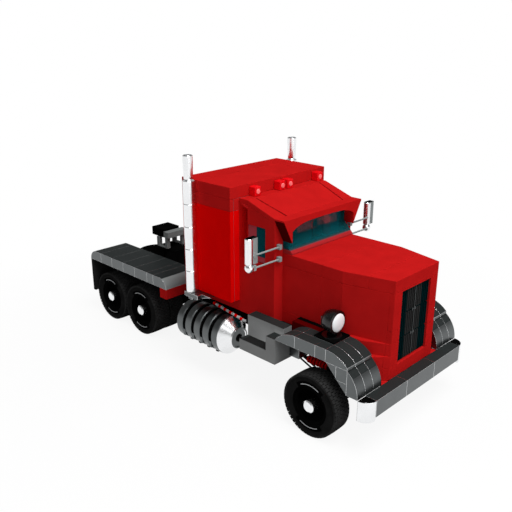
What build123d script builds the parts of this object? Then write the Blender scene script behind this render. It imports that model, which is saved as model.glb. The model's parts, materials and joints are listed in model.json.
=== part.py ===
from build123d import *
import os

# A toy tractor truck put together from moulded pieces on a square grid.
# +X is forward, +Y is the truck's left, +Z is up, and Z = 0 is the floor under the tyres.
# All sizes are in millimetres. X places are counted forward from the firewall (the cab's
# front face), heights are counted up or down from the flat top of the hood, and Y places
# are counted from the centre plane.

# ---- driving dimensions -----------------------------------------------------
MOD = 8.0                 # grid module of the moulded pieces
PLATE = 3.2               # thickness of a plate and of every thin wall
CLEAR = 0.1               # gap between a piece and the opening it sits in
FIREWALL_X = 60.0         # firewall in front of the part's origin

TYRE_R = 20.6             # tyre, to the tips of the tread blocks
TYRE_W = 13.6             # tyre, across the side walls
TYRE_GAP = 0.8            # between the two tyres of a rear wheel
LUG = 1.3                 # height of the tread blocks
LUG_COUNT = 30            # tread blocks round one edge of a tyre
RIM_R = 12.2              # rim, at the bead
RIM_WELL_R = 10.4         # rim, inside its dish
RIM_DISH = 7.0            # depth of the rim's dish
HUB_PROUD = 1.0           # hub cap outside the tyre's face
HUB_R = 4.0               # hub cap
AXLE_R = 2.4              # axle pin
AXLE_GAP = 0.05           # running clearance of an axle pin in its bore
AXLE_Z = TYRE_R           # axles above the floor
RAIL_LIFT = 8.0           # frame rails above the axles
RAIL_TALL = 12.8
BODY_LIFT = 59.2          # hood top above the rails
HOOD_TOP = AXLE_Z + RAIL_LIFT + RAIL_TALL + BODY_LIFT

HOOD_LEN = 80.0           # nose in front of the firewall
FRONT_AXLE_X = FIREWALL_X + HOOD_LEN - 4 * MOD
REAR_AXLE_X = FIREWALL_X - 141.4
REAR_AXLE_PITCH = 42.0    # distance between the two rear axles
FRONT_WHEEL_Y = 60.0      # outer face of a front wheel from the centre plane
REAR_WHEEL_Y = 46.0       # outer face of a rear wheel from the centre plane
KINGPIN_Y = 38.0          # steering pivot from the centre plane
KINGPIN_R = 2.4

CAB_HALF = 40.0           # half width of the cab
CAB_LEN = 32.0
CAB_UP = 24.0             # eaves of the cab above the hood top
CAB_DOWN = 48.0           # sill of the cab below the hood top
ROOF_UP = 32.0            # flat rear of the cab roof above the hood top
VISOR_REACH = 8.0         # sun visor in front of the firewall
WINDOW_X0, WINDOW_X1 = 8.0, 24.0     # side window, behind the firewall
WINDOW_Z0, WINDOW_Z1 = -8.0, 16.0    # side window, about the hood top
GLASS = 2.0

HOOD_HALF = 32.0          # half width of the hood at the firewall
HOOD_TAPER_X = HOOD_LEN - 4 * MOD    # the taper of the hood's sides starts here
NOSE_HALF = HOOD_HALF - MOD          # half width of the nose
HOOD_CAP = 8.0            # depth of the hood's top piece
HOOD_DOWN = 64.0          # lower edge of the nose below the hood top
GRILLE_HALF = NOSE_HALF - MOD
GRILLE_Z0, GRILLE_Z1 = -56.0, -8.8

SLEEPER_HALF = 48.0
SLEEPER_X0, SLEEPER_X1 = -80.0, -32.0
SLEEPER_UP = 40.0
SLEEPER_DOWN = 40.0

FENDER_W = 24.0           # width of a front fender
FENDER_IN = HOOD_HALF
FENDER_OUT = FENDER_IN + FENDER_W    # outer face of the front fenders, steps and bumper
FENDER_X0, FENDER_X1 = HOOD_LEN - 8 * MOD, HOOD_LEN
FENDER_TOP = -40.0
FENDER_THICK = 8.0
FENDER_DROP = -HOOD_DOWN  # lower tips of the front fenders
FENDER_RAMP = 16.0        # length of the curved ends and of the wheel arch's ramp
FENDER_LIP = 1.6          # upright lip between the fender's two front curves
FENDER_EDGE = 0.4         # upright rear edge of the front fender
LEDGE_LEN = 3 * MOD       # length of the red ledge between hood and front fender
BUMPER_THICK = 8.0
BUMPER_TALL = 11.0
BUMPER_END = 2.4          # the bumper's round ends hang this far below it

REAR_FENDER_OUT, REAR_FENDER_IN = 48.0, 16.0
REAR_FENDER_X0, REAR_FENDER_X1 = -208.0, -104.0
REAR_FENDER_TOP = -43.2
REAR_FENDER_THICK = 8.0

TANK_R = 14.2
TANK_Y = 43.0
TANK_Z = -67.0
TANK_X0 = -81.0
TANK_BANDS = 5
TANK_BAND, TANK_BAND_GAP = 6.2, 3.1
TANK_GROOVE = 1.6

STACK_X, STACK_R = -68.0, 4.0
STACK_SEGMENT, STACK_SEGMENTS = 16.0, 5
STACK_TIP_R, STACK_TIP = 3.4, 17.0

RAIL_OUT, RAIL_IN = 16.0, 8.0
RAIL_Z1 = -BODY_LIFT
RAIL_Z0 = RAIL_Z1 - RAIL_TALL
RAIL_X0, RAIL_X1 = -200.0, HOOD_LEN - 4.0

os.makedirs("parts", exist_ok=True)


# ---- helpers ----------------------------------------------------------------
def fx(x):
    """X place counted forward from the firewall."""
    return FIREWALL_X + x


def hz(z):
    """Height counted from the hood top."""
    return HOOD_TOP + z


def block(x0, x1, y0, y1, z0, z1):
    """Rectangular block: X from the firewall, heights from the hood top."""
    size = (x1 - x0, y1 - y0, z1 - z0)
    return Pos(fx(x0), y0, hz(z0)) * Box(*size, align=(Align.MIN, Align.MIN, Align.MIN))


def prism_y(points, y0, y1):
    """Outline of (x, z) points run across from y0 to y1."""
    face = make_face(Polyline(*[(fx(x), y0, hz(z)) for x, z in points], close=True))
    return extrude(face, amount=y1 - y0, dir=(0, 1, 0))


def prism_z(points, z0, z1):
    """Outline of (x, y) points run up from z0 to z1."""
    face = make_face(Polyline(*[(fx(x), y, hz(z0)) for x, y in points], close=True))
    return extrude(face, amount=z1 - z0, dir=(0, 0, 1))


def prism_x(points, x0, x1):
    """Outline of (y, z) points run forward from x0 to x1."""
    face = make_face(Polyline(*[(fx(x0), y, hz(z)) for y, z in points], close=True))
    return extrude(face, amount=x1 - x0, dir=(1, 0, 0))


def rod_z(x, y, z0, z1, r):
    return Pos(fx(x), y, hz(z0)) * Cylinder(r, z1 - z0, align=(Align.CENTER, Align.CENTER, Align.MIN))


def rod_x(x0, x1, y, z, r, r_end=None):
    """Round bar or cone along X."""
    body = Cylinder(r, x1 - x0, align=(Align.CENTER, Align.CENTER, Align.MIN))
    if r_end is not None:
        body = Cone(r, r_end, x1 - x0, align=(Align.CENTER, Align.CENTER, Align.MIN))
    return Pos(fx(x0), y, hz(z)) * Rot(0, 90, 0) * body


def rod_y(x, y0, y1, z, r):
    """Round bar along Y, from the lower y0 to the higher y1."""
    body = Cylinder(r, y1 - y0, align=(Align.CENTER, Align.CENTER, Align.MIN))
    return Pos(fx(x), y0, hz(z)) * Rot(-90, 0, 0) * body


def mirrored(shape):
    """The same piece on the other side of the centre plane."""
    return mirror(shape, about=Plane.XZ)


def joined(solids):
    out = solids[0]
    for one in solids[1:]:
        out = out + one
    return out


def save(name, *shapes):
    solids = [s for shape in shapes for s in shape.solids()]
    export_step(Compound(children=solids) if len(solids) > 1 else solids[0], f"parts/{name}.step")


def both(name, right):
    """Writes a piece of the right side and its mirror image."""
    save(name + "_right", right)
    save(name + "_left", mirrored(right))


def pair(name, right):
    """Writes a piece of the right side and its mirror image into one node."""
    save(name, right, mirrored(right))


# ---- hood and nose ----------------------------------------------------------
def hood_outline(half, nose_half, taper_x, length, inset=0.0, x0=0.0):
    return [(x0 + inset, -half + inset), (taper_x, -half + inset), (length - inset, -nose_half + inset),
            (length - inset, nose_half - inset), (taper_x, half - inset), (x0 + inset, half - inset)]


def hood_top():
    shell = prism_z(hood_outline(HOOD_HALF, NOSE_HALF, HOOD_TAPER_X, HOOD_LEN), -HOOD_CAP, 0)
    core = prism_z(hood_outline(HOOD_HALF, NOSE_HALF, HOOD_TAPER_X, HOOD_LEN, PLATE), -HOOD_CAP, -PLATE)
    return shell - core


# Flank panels of the hood, right side: lower edge, upper edge, rear end, start of the taper.
FLANK = (
    # z0,     z1,        x0,   taper_x
    (FENDER_TOP, -HOOD_CAP, 0.0, HOOD_TAPER_X),
    (FENDER_TOP - MOD, FENDER_TOP, 0.0, HOOD_LEN - 2 * MOD),
    (-HOOD_DOWN, FENDER_TOP - MOD, HOOD_LEN - 3 * MOD, HOOD_LEN - MOD),
)
NOSE_X = HOOD_LEN - PLATE          # rear face of the nose frame


def hood_side():
    panels = []
    for z0, z1, x0, taper_x in FLANK:
        slope = (HOOD_HALF - NOSE_HALF) / (HOOD_LEN - taper_x)
        y_nose = HOOD_HALF - slope * (NOSE_X - taper_x)
        outline = [(x0, -HOOD_HALF), (taper_x, -HOOD_HALF), (NOSE_X, -y_nose),
                   (NOSE_X, -y_nose + PLATE), (taper_x, -HOOD_HALF + PLATE), (x0, -HOOD_HALF + PLATE)]
        panels.append(prism_z(outline, z0, z1))
    ledge = block(FENDER_X0, FENDER_X0 + LEDGE_LEN, -HOOD_HALF - MOD, -HOOD_HALF, FENDER_TOP - MOD, FENDER_TOP)
    return joined(panels + [ledge])


def grille_surround():
    frame = block(NOSE_X, HOOD_LEN, -NOSE_HALF, NOSE_HALF, -HOOD_DOWN, -HOOD_CAP)
    hole = block(NOSE_X, HOOD_LEN, -GRILLE_HALF, GRILLE_HALF, GRILLE_Z0, GRILLE_Z1)
    return frame - hole


GRILLE_RIBS = 11
GRILLE_RIB = 1.5
GRILLE_DEEP = 2.4


def grille():
    half = GRILLE_HALF + 2.0
    back = block(NOSE_X - GRILLE_DEEP, NOSE_X, -half, half, GRILLE_Z0 - 2.0, GRILLE_Z1 + 0.4)
    pitch = (2 * GRILLE_HALF - 2 * CLEAR - GRILLE_RIB) / (GRILLE_RIBS - 1)
    ribs = []
    for i in range(GRILLE_RIBS):
        y = -GRILLE_HALF + CLEAR + i * pitch
        ribs.append(block(NOSE_X, NOSE_X + 2.0, y, y + GRILLE_RIB, GRILLE_Z0 + CLEAR, GRILLE_Z1 - CLEAR))
    return joined([back] + ribs)


save("hood_top", hood_top())
pair("hood_sides", hood_side())
save("grille_surround", grille_surround())
save("grille", grille())


# ---- bumper and front fenders -----------------------------------------------
def bumper():
    half = FENDER_OUT - BUMPER_THICK
    z0, z1 = FENDER_DROP - BUMPER_TALL, FENDER_DROP
    bar = block(HOOD_LEN, HOOD_LEN + BUMPER_THICK, -half, half, z0, z1)
    ends = []
    for side in (-1, 1):
        corner = rod_z(HOOD_LEN, side * half, z0 - BUMPER_END + 1.0, z1, BUMPER_THICK)
        foot = Pos(fx(HOOD_LEN), side * half, hz(z0 - BUMPER_END)) * Cone(
            BUMPER_THICK - 1.0, BUMPER_THICK, 1.0, align=(Align.CENTER, Align.CENTER, Align.MIN))
        y0, y1 = sorted((side * half, side * FENDER_OUT))
        ends.append((corner + foot) & block(HOOD_LEN, HOOD_LEN + BUMPER_THICK, y0, y1, z0 - BUMPER_END, z1))
    mounts = []
    for side in (-1, 1):
        y0, y1 = sorted((side * RAIL_IN, side * RAIL_OUT))
        mounts.append(block(RAIL_X1, HOOD_LEN, y0, y1, z0 + 2.0, FENDER_DROP - CLEAR))
    return joined([bar] + ends + mounts)


def arc_points(cx, cz, r, a0, a1, steps=8):
    """Points on an arc in the X-Z plane; angles in degrees from +X towards +Z."""
    from math import cos, sin, radians
    out = []
    for i in range(steps + 1):
        a = radians(a0 + (a1 - a0) * i / steps)
        out.append((cx + r * cos(a), cz + r * sin(a)))
    return out


def curve_r(length, height):
    """Radius of an arc that leaves a flat run smoothly and drops by height over length."""
    return (length ** 2 + height ** 2) / (2 * height)


def front_fender():
    """Right front fender: curved ends above, the wheel arch below, an inner wall behind the wheel."""
    x0, x1 = FENDER_X0, FENDER_X1
    top, under, tip = FENDER_TOP, FENDER_TOP - FENDER_THICK, FENDER_DROP
    rear_flat, front_flat = x0 + FENDER_RAMP, x1 - MOD - FENDER_RAMP
    edge = x1 - MOD
    rear_r = curve_r(FENDER_RAMP, FENDER_THICK - FENDER_EDGE)
    front_r = curve_r(FENDER_RAMP, FENDER_THICK - FENDER_LIP)
    lower_r = curve_r(under - tip, x1 - edge)
    ledge_end = x0 + LEDGE_LEN + CLEAR
    with BuildPart() as part:
        with BuildSketch(Plane.XZ.offset(FENDER_IN + MOD + CLEAR)):
            with BuildLine():
                Line((fx(x0), hz(under)), (fx(x0), hz(under + FENDER_EDGE)))
                RadiusArc((fx(x0), hz(under + FENDER_EDGE)), (fx(rear_flat), hz(top)), rear_r)
                Line((fx(rear_flat), hz(top)), (fx(ledge_end), hz(top)))
                Line((fx(ledge_end), hz(top)), (fx(ledge_end), hz(under)))
                Line((fx(ledge_end), hz(under)), (fx(x0), hz(under)))
            make_face()
        extrude(amount=FENDER_OUT - FENDER_IN - MOD - CLEAR)
        with BuildSketch(Plane.XZ.offset(FENDER_IN)):
            with BuildLine():
                Line((fx(ledge_end), hz(under)), (fx(ledge_end), hz(top)))
                Line((fx(ledge_end), hz(top)), (fx(front_flat), hz(top)))
                RadiusArc((fx(front_flat), hz(top)), (fx(edge), hz(under + FENDER_LIP)), front_r)
                Line((fx(edge), hz(under + FENDER_LIP)), (fx(edge), hz(under)))
                RadiusArc((fx(edge), hz(under)), (fx(x1), hz(tip)), lower_r)
                Line((fx(x1), hz(tip)), (fx(edge), hz(tip)))
                Line((fx(edge), hz(tip)), (fx(edge - FENDER_RAMP), hz(under)))
                Line((fx(edge - FENDER_RAMP), hz(under)), (fx(ledge_end), hz(under)))
            make_face()
        extrude(amount=FENDER_OUT - FENDER_IN)
    wall = block(x0, x0 + MOD, -FENDER_IN - MOD - 2.0, -FENDER_IN, tip, under)
    return part.part + wall


save("bumper", bumper())
pair("front_fenders", front_fender())


# ---- headlamps --------------------------------------------------------------
LAMP_Y, LAMP_X, LAMP_Z = HOOD_HALF + MOD, HOOD_LEN - 28.0, FENDER_TOP + 10.4
LAMP_R = 7.4
LENS_R = 5.8
POD = 7.8                 # half of the square plate under a headlamp
POD_HIGH = 1.1


def headlamp_housing():
    """Square pod, short post, bracket and the round shell of the right headlamp."""
    y = -LAMP_Y
    pod = block(LAMP_X - 4.0 - POD, LAMP_X - 4.0 + POD, y - POD, y + POD, FENDER_TOP, FENDER_TOP + POD_HIGH)
    post = rod_z(LAMP_X - 4.0, y, FENDER_TOP + POD_HIGH, LAMP_Z, 2.4)
    shell = rod_x(LAMP_X - 8.0, LAMP_X - 3.0, y, LAMP_Z, 3.6, LAMP_R)
    rim = rod_x(LAMP_X - 3.0, LAMP_X, y, LAMP_Z, LAMP_R)
    seat = rod_x(LAMP_X - 1.0, LAMP_X, y, LAMP_Z, LENS_R + CLEAR)
    return joined([pod, post, shell, rim]) - seat


def headlamp_lens():
    y = -LAMP_Y
    disc = rod_x(LAMP_X - 1.0, LAMP_X + 0.6, y, LAMP_Z, LENS_R)
    cap = rod_x(LAMP_X + 0.6, LAMP_X + 1.8, y, LAMP_Z, LENS_R, LENS_R / 2)
    return disc + cap


pair("headlamp_housings", headlamp_housing())
pair("headlamp_lenses", headlamp_lens())


# ---- cab --------------------------------------------------------------------
ROOF_BREAK = -24.0        # the roof slopes forward from here


def roof_outline(lift=0.0):
    """Side outline of the roof plate, raised by lift."""
    slope = (ROOF_UP - CAB_UP) / (0 - ROOF_BREAK)
    z_reach = ROOF_UP - slope * (-CLEAR - ROOF_BREAK)
    top = [(-CAB_LEN, ROOF_UP), (ROOF_BREAK, ROOF_UP), (-CLEAR, z_reach)]
    low = [(x, z - PLATE) for x, z in reversed(top)]
    return [(x, z + lift) for x, z in top + low]


def cab_side():
    """Right side wall of the cab with its window cut out."""
    wall = block(-CAB_LEN, 0, -CAB_HALF, -CAB_HALF + PLATE, -CAB_DOWN, CAB_UP)
    hole = block(-WINDOW_X1, -WINDOW_X0, -CAB_HALF, -CAB_HALF + PLATE, WINDOW_Z0, WINDOW_Z1)
    roof = prism_y(roof_outline(), -CAB_HALF, CAB_HALF)
    above = prism_y(roof_outline(2 * PLATE), -CAB_HALF, CAB_HALF)
    gable = prism_y([(-CAB_LEN, 0), (-CLEAR, 0), (-CLEAR, CAB_UP), (-CAB_LEN, ROOF_UP)], -CAB_HALF, -CAB_HALF + PLATE)
    return wall + gable - roof - above - hole


def side_window():
    y0 = -CAB_HALF + (PLATE - GLASS) / 2
    return block(-WINDOW_X1 + CLEAR, -WINDOW_X0 - CLEAR, y0, y0 + GLASS, WINDOW_Z0 + CLEAR, WINDOW_Z1 - CLEAR)


def cab_front():
    """Firewall with its two corner posts, open where the windscreen stands."""
    inner = CAB_HALF - PLATE
    wall = block(-PLATE, 0, -inner, inner, -CAB_DOWN, CAB_UP - PLATE)
    opening = block(-PLATE, 0, -HOOD_HALF, HOOD_HALF, 0, CAB_UP - PLATE)
    return wall - opening


def cab_roof():
    """Roof: flat behind, sloping forward over the cab."""
    return prism_y(roof_outline(), -CAB_HALF, CAB_HALF)


VISOR_TIP = 16.0          # the visor's side wedges hang down this far
# Lower edge of the visor from its centre out: share of the wedge's place, drop from the top.
VISOR_ARCH = ((0.0, 3.7), (0.5, 4.0), (0.64, 4.4), (0.86, 6.0), (1.0, 8.3))


def sun_visor():
    """Hanging visor: a wedge at each side and an arched lower edge between them."""
    tip = CAB_HALF - MOD
    arch = [(share * tip, CAB_UP - drop) for share, drop in VISOR_ARCH]
    right = [(-y, z) for y, z in arch]
    edge = [(tip, CAB_UP - VISOR_TIP), (CAB_HALF, CAB_UP - 1.0), (CAB_HALF, CAB_UP)]
    outline = list(reversed([(-y, z) for y, z in edge])) + list(reversed(right)) + arch[1:] + edge
    return prism_x(outline, 0, VISOR_REACH)


def windscreen():
    """Smoked screen between the corner posts, with a sloping foot on the hood."""
    half = HOOD_HALF - CLEAR
    foot = VISOR_REACH
    outer = [(-PLATE, 0), (foot, 0), (foot, 1.0), (0, 9.0), (0, CAB_UP - PLATE), (-PLATE, CAB_UP - PLATE)]
    body = prism_y(outer, -half, half)
    hollow = prism_y([(-PLATE, 0), (foot - GLASS, 0), (-GLASS, 8.0), (-GLASS, CAB_UP - PLATE), (-PLATE, CAB_UP - PLATE)],
                     -half + GLASS, half - GLASS)
    return body - hollow


pair("cab_sides", cab_side())
pair("side_windows", side_window())
save("cab_front", cab_front())
save("cab_roof", cab_roof())
save("sun_visor", sun_visor())
save("windscreen", windscreen())


# ---- cab inside -------------------------------------------------------------
CAB_FLOOR = -CAB_DOWN + PLATE
SEAT_Y, SEAT_W = 18.0, 20.0


def cab_floor():
    inner = CAB_HALF - PLATE
    return block(SLEEPER_X0 + PLATE, -PLATE, -inner, inner, -CAB_DOWN, CAB_FLOOR)


def seats():
    out = []
    for side in (-1, 1):
        y = side * SEAT_Y
        cushion = block(-28.0, -12.0, y - SEAT_W / 2, y + SEAT_W / 2, CAB_FLOOR, -20.0)
        back = block(-31.0, -26.0, y - SEAT_W / 2, y + SEAT_W / 2, CAB_FLOOR, 8.0)
        out.append(cushion + back)
    return out


def dashboard():
    inner = CAB_HALF - PLATE - 1.0
    board = block(-9.0, -PLATE, -inner, inner, -24.0, -2.0)
    column = Pos(fx(-9.0), SEAT_Y, hz(-8.0)) * Rot(0, -60, 0) * Cylinder(1.2, 6.0, align=(Align.CENTER, Align.CENTER, Align.MIN))
    wheel = Pos(fx(-9.0), SEAT_Y, hz(-8.0)) * Rot(0, -60, 0) * Pos(0, 0, 5.0) * (Cylinder(6.0, 1.4) - Cylinder(4.8, 1.4) + Box(10.4, 1.4, 1.4) + Box(1.4, 10.4, 1.4))
    return board + column + wheel


save("cab_floor", cab_floor())
save("seats", *seats())
save("dashboard", dashboard())


# ---- sleeper ----------------------------------------------------------------
def sleeper_side():
    return block(SLEEPER_X0, SLEEPER_X1, -SLEEPER_HALF, -SLEEPER_HALF + PLATE, -SLEEPER_DOWN, SLEEPER_UP - MOD)


def sleeper_roof():
    """Flat roof of the sleeper, hollow from below."""
    x0, x1 = SLEEPER_X0, SLEEPER_X1
    z0, z1 = SLEEPER_UP - MOD, SLEEPER_UP
    inner = SLEEPER_HALF - PLATE
    roof = block(x0, x1, -SLEEPER_HALF, SLEEPER_HALF, z0, z1)
    return roof - block(x0 + PLATE, x1 - PLATE, -inner, inner, z0, z1 - PLATE)


def sleeper_back():
    inner = SLEEPER_HALF - PLATE
    return block(SLEEPER_X0, SLEEPER_X0 + PLATE, -inner, inner, -SLEEPER_DOWN, SLEEPER_UP - MOD)


PASSAGE_HALF = 27.0       # half width of the open passage from the cab


def sleeper_post():
    """Front wall of the sleeper beside the passage, right side."""
    x0, x1 = SLEEPER_X1 - PLATE, SLEEPER_X1
    return block(x0, x1, -SLEEPER_HALF + PLATE, -PASSAGE_HALF, -SLEEPER_DOWN, SLEEPER_UP - MOD)


def sleeper_lintel():
    """Front wall of the sleeper above the passage."""
    x0, x1 = SLEEPER_X1 - PLATE, SLEEPER_X1
    return block(x0, x1, -PASSAGE_HALF, PASSAGE_HALF, CAB_UP, SLEEPER_UP - MOD)


pair("sleeper_sides", sleeper_side())
save("sleeper_roof", sleeper_roof())
save("sleeper_back", sleeper_back())
pair("sleeper_posts", sleeper_post())
save("sleeper_lintel", sleeper_lintel())

# Marker lamps on the cab roof, against the sleeper: place across the truck.
MARKERS = (-28.0, -4.0, 4.0, 36.0)
MARKER = 2.9
MARKER_LEN = 6.4


def marker_lamps():
    x0 = SLEEPER_X1 + CLEAR
    return [block(x0, x0 + MARKER_LEN, y - MARKER, y + MARKER, ROOF_UP, ROOF_UP + MARKER_LEN) for y in MARKERS]


save("marker_lamps", *marker_lamps())


# ---- exhaust stacks and mirrors ---------------------------------------------
def exhaust():
    y = -SLEEPER_HALF - STACK_R - CLEAR
    z0 = -SLEEPER_DOWN
    z1 = z0 + STACK_SEGMENTS * STACK_SEGMENT
    lower = rod_z(STACK_X, y, z0, z1, STACK_R)
    tip = rod_z(STACK_X, y, z1, z1 + STACK_TIP, STACK_TIP_R)
    bracket = block(STACK_X - 4.0, STACK_X + 10.0, -SLEEPER_HALF - 8.0, -SLEEPER_HALF + PLATE, z0 - PLATE, z0)
    return lower + tip + bracket


MIRROR_X, MIRROR_Y = 0.0, 62.4
MIRROR_R = 3.1
MIRROR_WIDE = 5.9         # from the round edge's axis to the mirror's flat edge
MIRROR_Z0, MIRROR_Z1 = 0.0, 16.6
ARM_R = 0.7
ARMS = (5.5, -2.7)        # heights of the two mirror arms


def mirror_head(y):
    """Mirror with its round edge at y; both sides carry it the same way round."""
    shell = rod_z(MIRROR_X, y, MIRROR_Z0, MIRROR_Z1, MIRROR_R)
    back = block(MIRROR_X - MIRROR_R + 0.6, MIRROR_X + 2.0, y, y + MIRROR_WIDE, MIRROR_Z0, MIRROR_Z1)
    ball = Pos(fx(MIRROR_X), y, hz(MIRROR_Z0 - MIRROR_R + 0.5)) * Sphere(MIRROR_R)
    return joined([shell, back, ball])


def mirror_arms():
    """The two arms of the right mirror and the clips they snap into."""
    y = -MIRROR_Y
    arms = [rod_y(ARM_R + CLEAR + 1.0, y + 1.0, -HOOD_HALF - 4.0, z, ARM_R) for z in ARMS]
    clips = [block(CLEAR, 3.0, -HOOD_HALF - 6.2, -HOOD_HALF - 3.6, z - 1.6, z + 1.6) for z in ARMS]
    return arms + clips


pair("exhausts", exhaust())
right_mirror = joined([mirror_head(-MIRROR_Y)] + mirror_arms())
left_mirror = joined([mirror_head(MIRROR_Y + MIRROR_R - MIRROR_WIDE)] + [mirrored(s) for s in mirror_arms()])
save("mirrors", right_mirror, left_mirror)


# ---- steps and fuel tanks ---------------------------------------------------
STEP_X0, STEP_X1 = FENDER_X0 - 4 * MOD, FENDER_X0
STEP_BOX_OUT, STEP_BOX_IN = CAB_HALF + MOD, CAB_HALF
STEP_BOX_TOP = -43.2
TREAD_Z = -58.0
STEP_FOOT = -65.6


def step_box():
    x1 = STEP_X1 - CLEAR
    box = block(STEP_X0, x1, -STEP_BOX_OUT, -STEP_BOX_IN - CLEAR, STEP_FOOT, STEP_BOX_TOP)
    tread = block(STEP_X0, x1, -FENDER_OUT, -STEP_BOX_OUT, STEP_FOOT, TREAD_Z)
    post = block(STEP_X1 - MOD, x1, -FENDER_OUT, -STEP_BOX_OUT, TREAD_Z, FENDER_TOP - FENDER_THICK)
    hanger = block(STEP_X0 + 8.0, x1 - 8.0, -STEP_BOX_IN, -RAIL_OUT - CLEAR, RAIL_Z0 + 2.0, RAIL_Z0 + 6.0)
    arm = block(STEP_X0 + 8.0, x1 - 8.0, -STEP_BOX_IN - 4.0, -STEP_BOX_IN + 1.0, RAIL_Z0 + 2.0, STEP_FOOT + 4.0)
    return joined([box, tread, post, hanger, arm])


def fuel_tank():
    y = -TANK_Y
    pitch = TANK_BAND + TANK_BAND_GAP
    length = TANK_BANDS * TANK_BAND + (TANK_BANDS - 1) * TANK_BAND_GAP
    core = rod_x(TANK_X0 + 0.5, TANK_X0 + length - 0.5, y, TANK_Z, TANK_R - TANK_GROOVE)
    bands = []
    for i in range(TANK_BANDS):
        x = TANK_X0 + i * pitch
        bands.append(rod_x(x, x + TANK_BAND, y, TANK_Z, TANK_R))
    straps = [block(TANK_X0 + s, TANK_X0 + s + 6.0, y + TANK_R - 4.0, -RAIL_OUT - CLEAR, TANK_Z + 1.0, TANK_Z + 5.0)
              for s in (8.0, 28.0)]
    return joined([core] + bands + straps)


TANK_X1 = TANK_X0 + TANK_BANDS * TANK_BAND + (TANK_BANDS - 1) * TANK_BAND_GAP
CONE_LEN = 12.0


def tank_end():
    y = -TANK_Y
    cone = rod_x(TANK_X1, TANK_X1 + CONE_LEN, y, TANK_Z, TANK_R - CLEAR, 7.6)
    ring = rod_x(TANK_X1 + CONE_LEN, TANK_X1 + CONE_LEN + 1.2, y, TANK_Z, 7.6)
    hole = rod_x(TANK_X1 + CONE_LEN - 2.0, TANK_X1 + CONE_LEN + 1.2, y, TANK_Z, 3.0)
    return cone + ring - hole


pair("step_boxes", step_box())
pair("fuel_tanks", fuel_tank())
pair("tank_ends", tank_end())


# ---- rear fenders, skirts and mudflaps --------------------------------------
FENDER_LEG = 10.0         # rear edge of the fender's leg, in front of its rear end
FLAP_TIP = -80.0


def rear_fender():
    x0, x1 = REAR_FENDER_X0, REAR_FENDER_X1
    z1 = REAR_FENDER_TOP
    z0 = z1 - REAR_FENDER_THICK
    r_front = curve_r(FENDER_RAMP, REAR_FENDER_THICK)
    with BuildPart() as part:
        with BuildSketch(Plane.XZ.offset(REAR_FENDER_IN)):
            with BuildLine():
                Line((fx(x0), hz(z0)), (fx(x1), hz(z0)))
                RadiusArc((fx(x1), hz(z0)), (fx(x1 - FENDER_RAMP), hz(z1)), -r_front)
                Line((fx(x1 - FENDER_RAMP), hz(z1)), (fx(x0 + REAR_FENDER_THICK), hz(z1)))
                RadiusArc((fx(x0 + REAR_FENDER_THICK), hz(z1)), (fx(x0), hz(z0)), -REAR_FENDER_THICK)
            make_face()
        extrude(amount=REAR_FENDER_OUT - REAR_FENDER_IN)
    x = x0 + FENDER_LEG
    leg = block(x, x + MOD, -REAR_FENDER_IN, -REAR_FENDER_IN + 4.0, RAIL_Z1, z0 + 4.0)
    return joined([part.part, leg])


def mudflap():
    z1 = REAR_FENDER_TOP - REAR_FENDER_THICK
    return block(REAR_FENDER_X0, REAR_FENDER_X0 + PLATE, -REAR_FENDER_OUT, -REAR_FENDER_IN, FLAP_TIP, z1)


def skirt():
    """Red sill under the sleeper, with the block under the rear fender's front end."""
    x1 = -CAB_LEN
    return block(SLEEPER_X0, x1, -CAB_HALF, -CAB_HALF + PLATE, -CAB_DOWN, -SLEEPER_DOWN)


def fender_block():
    z1 = REAR_FENDER_TOP - REAR_FENDER_THICK
    return block(REAR_FENDER_X1 - MOD, REAR_FENDER_X1, -REAR_FENDER_OUT, -RAIL_OUT, z1 - MOD, z1)


save("rear_fender", rear_fender())
save("mudflap", mudflap())
save("skirts", skirt(), mirrored(skirt()), fender_block(), mirrored(fender_block()))


# ---- coupling plate and deck ------------------------------------------------
COUPLING_X, COUPLING_R = -178.0, 15.8
COUPLING_TOP = -48.0
COUPLING_THICK = 3.2
KING_BORE_R = 2.45
DECK_X0, DECK_X1 = COUPLING_X + 13.0, SLEEPER_X0 - 4.0
TOWER_X0, TOWER_X1 = DECK_X0, -140.0
TOWER_HALF, TOWER_UP = 12.0, -38.4
POST = 1.6                # half thickness of a tower post
POST_Y = 8.0
POSTS = (-162.5, -151.5)
BEAM_Z0, BEAM_Z1 = -29.0, -24.0
CAP_Z0, CAP_Z1 = -30.0, -23.0


def fifth_wheel():
    """Round coupling plate with the bore for a trailer's kingpin, on a stand across the rails."""
    z0 = COUPLING_TOP - COUPLING_THICK
    plate = rod_z(COUPLING_X, 0, z0, COUPLING_TOP, COUPLING_R)
    bore = rod_z(COUPLING_X, 0, z0, COUPLING_TOP, KING_BORE_R)
    cheeks = [block(COUPLING_X - 8.0, COUPLING_X + 8.0, min(s * RAIL_IN, s * 12.0), max(s * RAIL_IN, s * 12.0), RAIL_Z1, z0)
              for s in (-1, 1)]
    return joined([plate - bore] + cheeks)


def rear_deck():
    """Deck between the coupling plate and the sleeper, with the foot of the tower."""
    top = COUPLING_TOP
    half = REAR_FENDER_IN - CLEAR
    deck = block(DECK_X0, DECK_X1, -half, half, RAIL_Z1, top)
    hollow = block(DECK_X0, DECK_X1, -RAIL_IN, RAIL_IN, RAIL_Z1, top - PLATE)
    notch = rod_z(COUPLING_X, 0, RAIL_Z1, top, COUPLING_R + CLEAR)
    foot = block(TOWER_X0, TOWER_X1, -TOWER_HALF, TOWER_HALF, top, TOWER_UP)
    return deck + foot - hollow - notch


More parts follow.
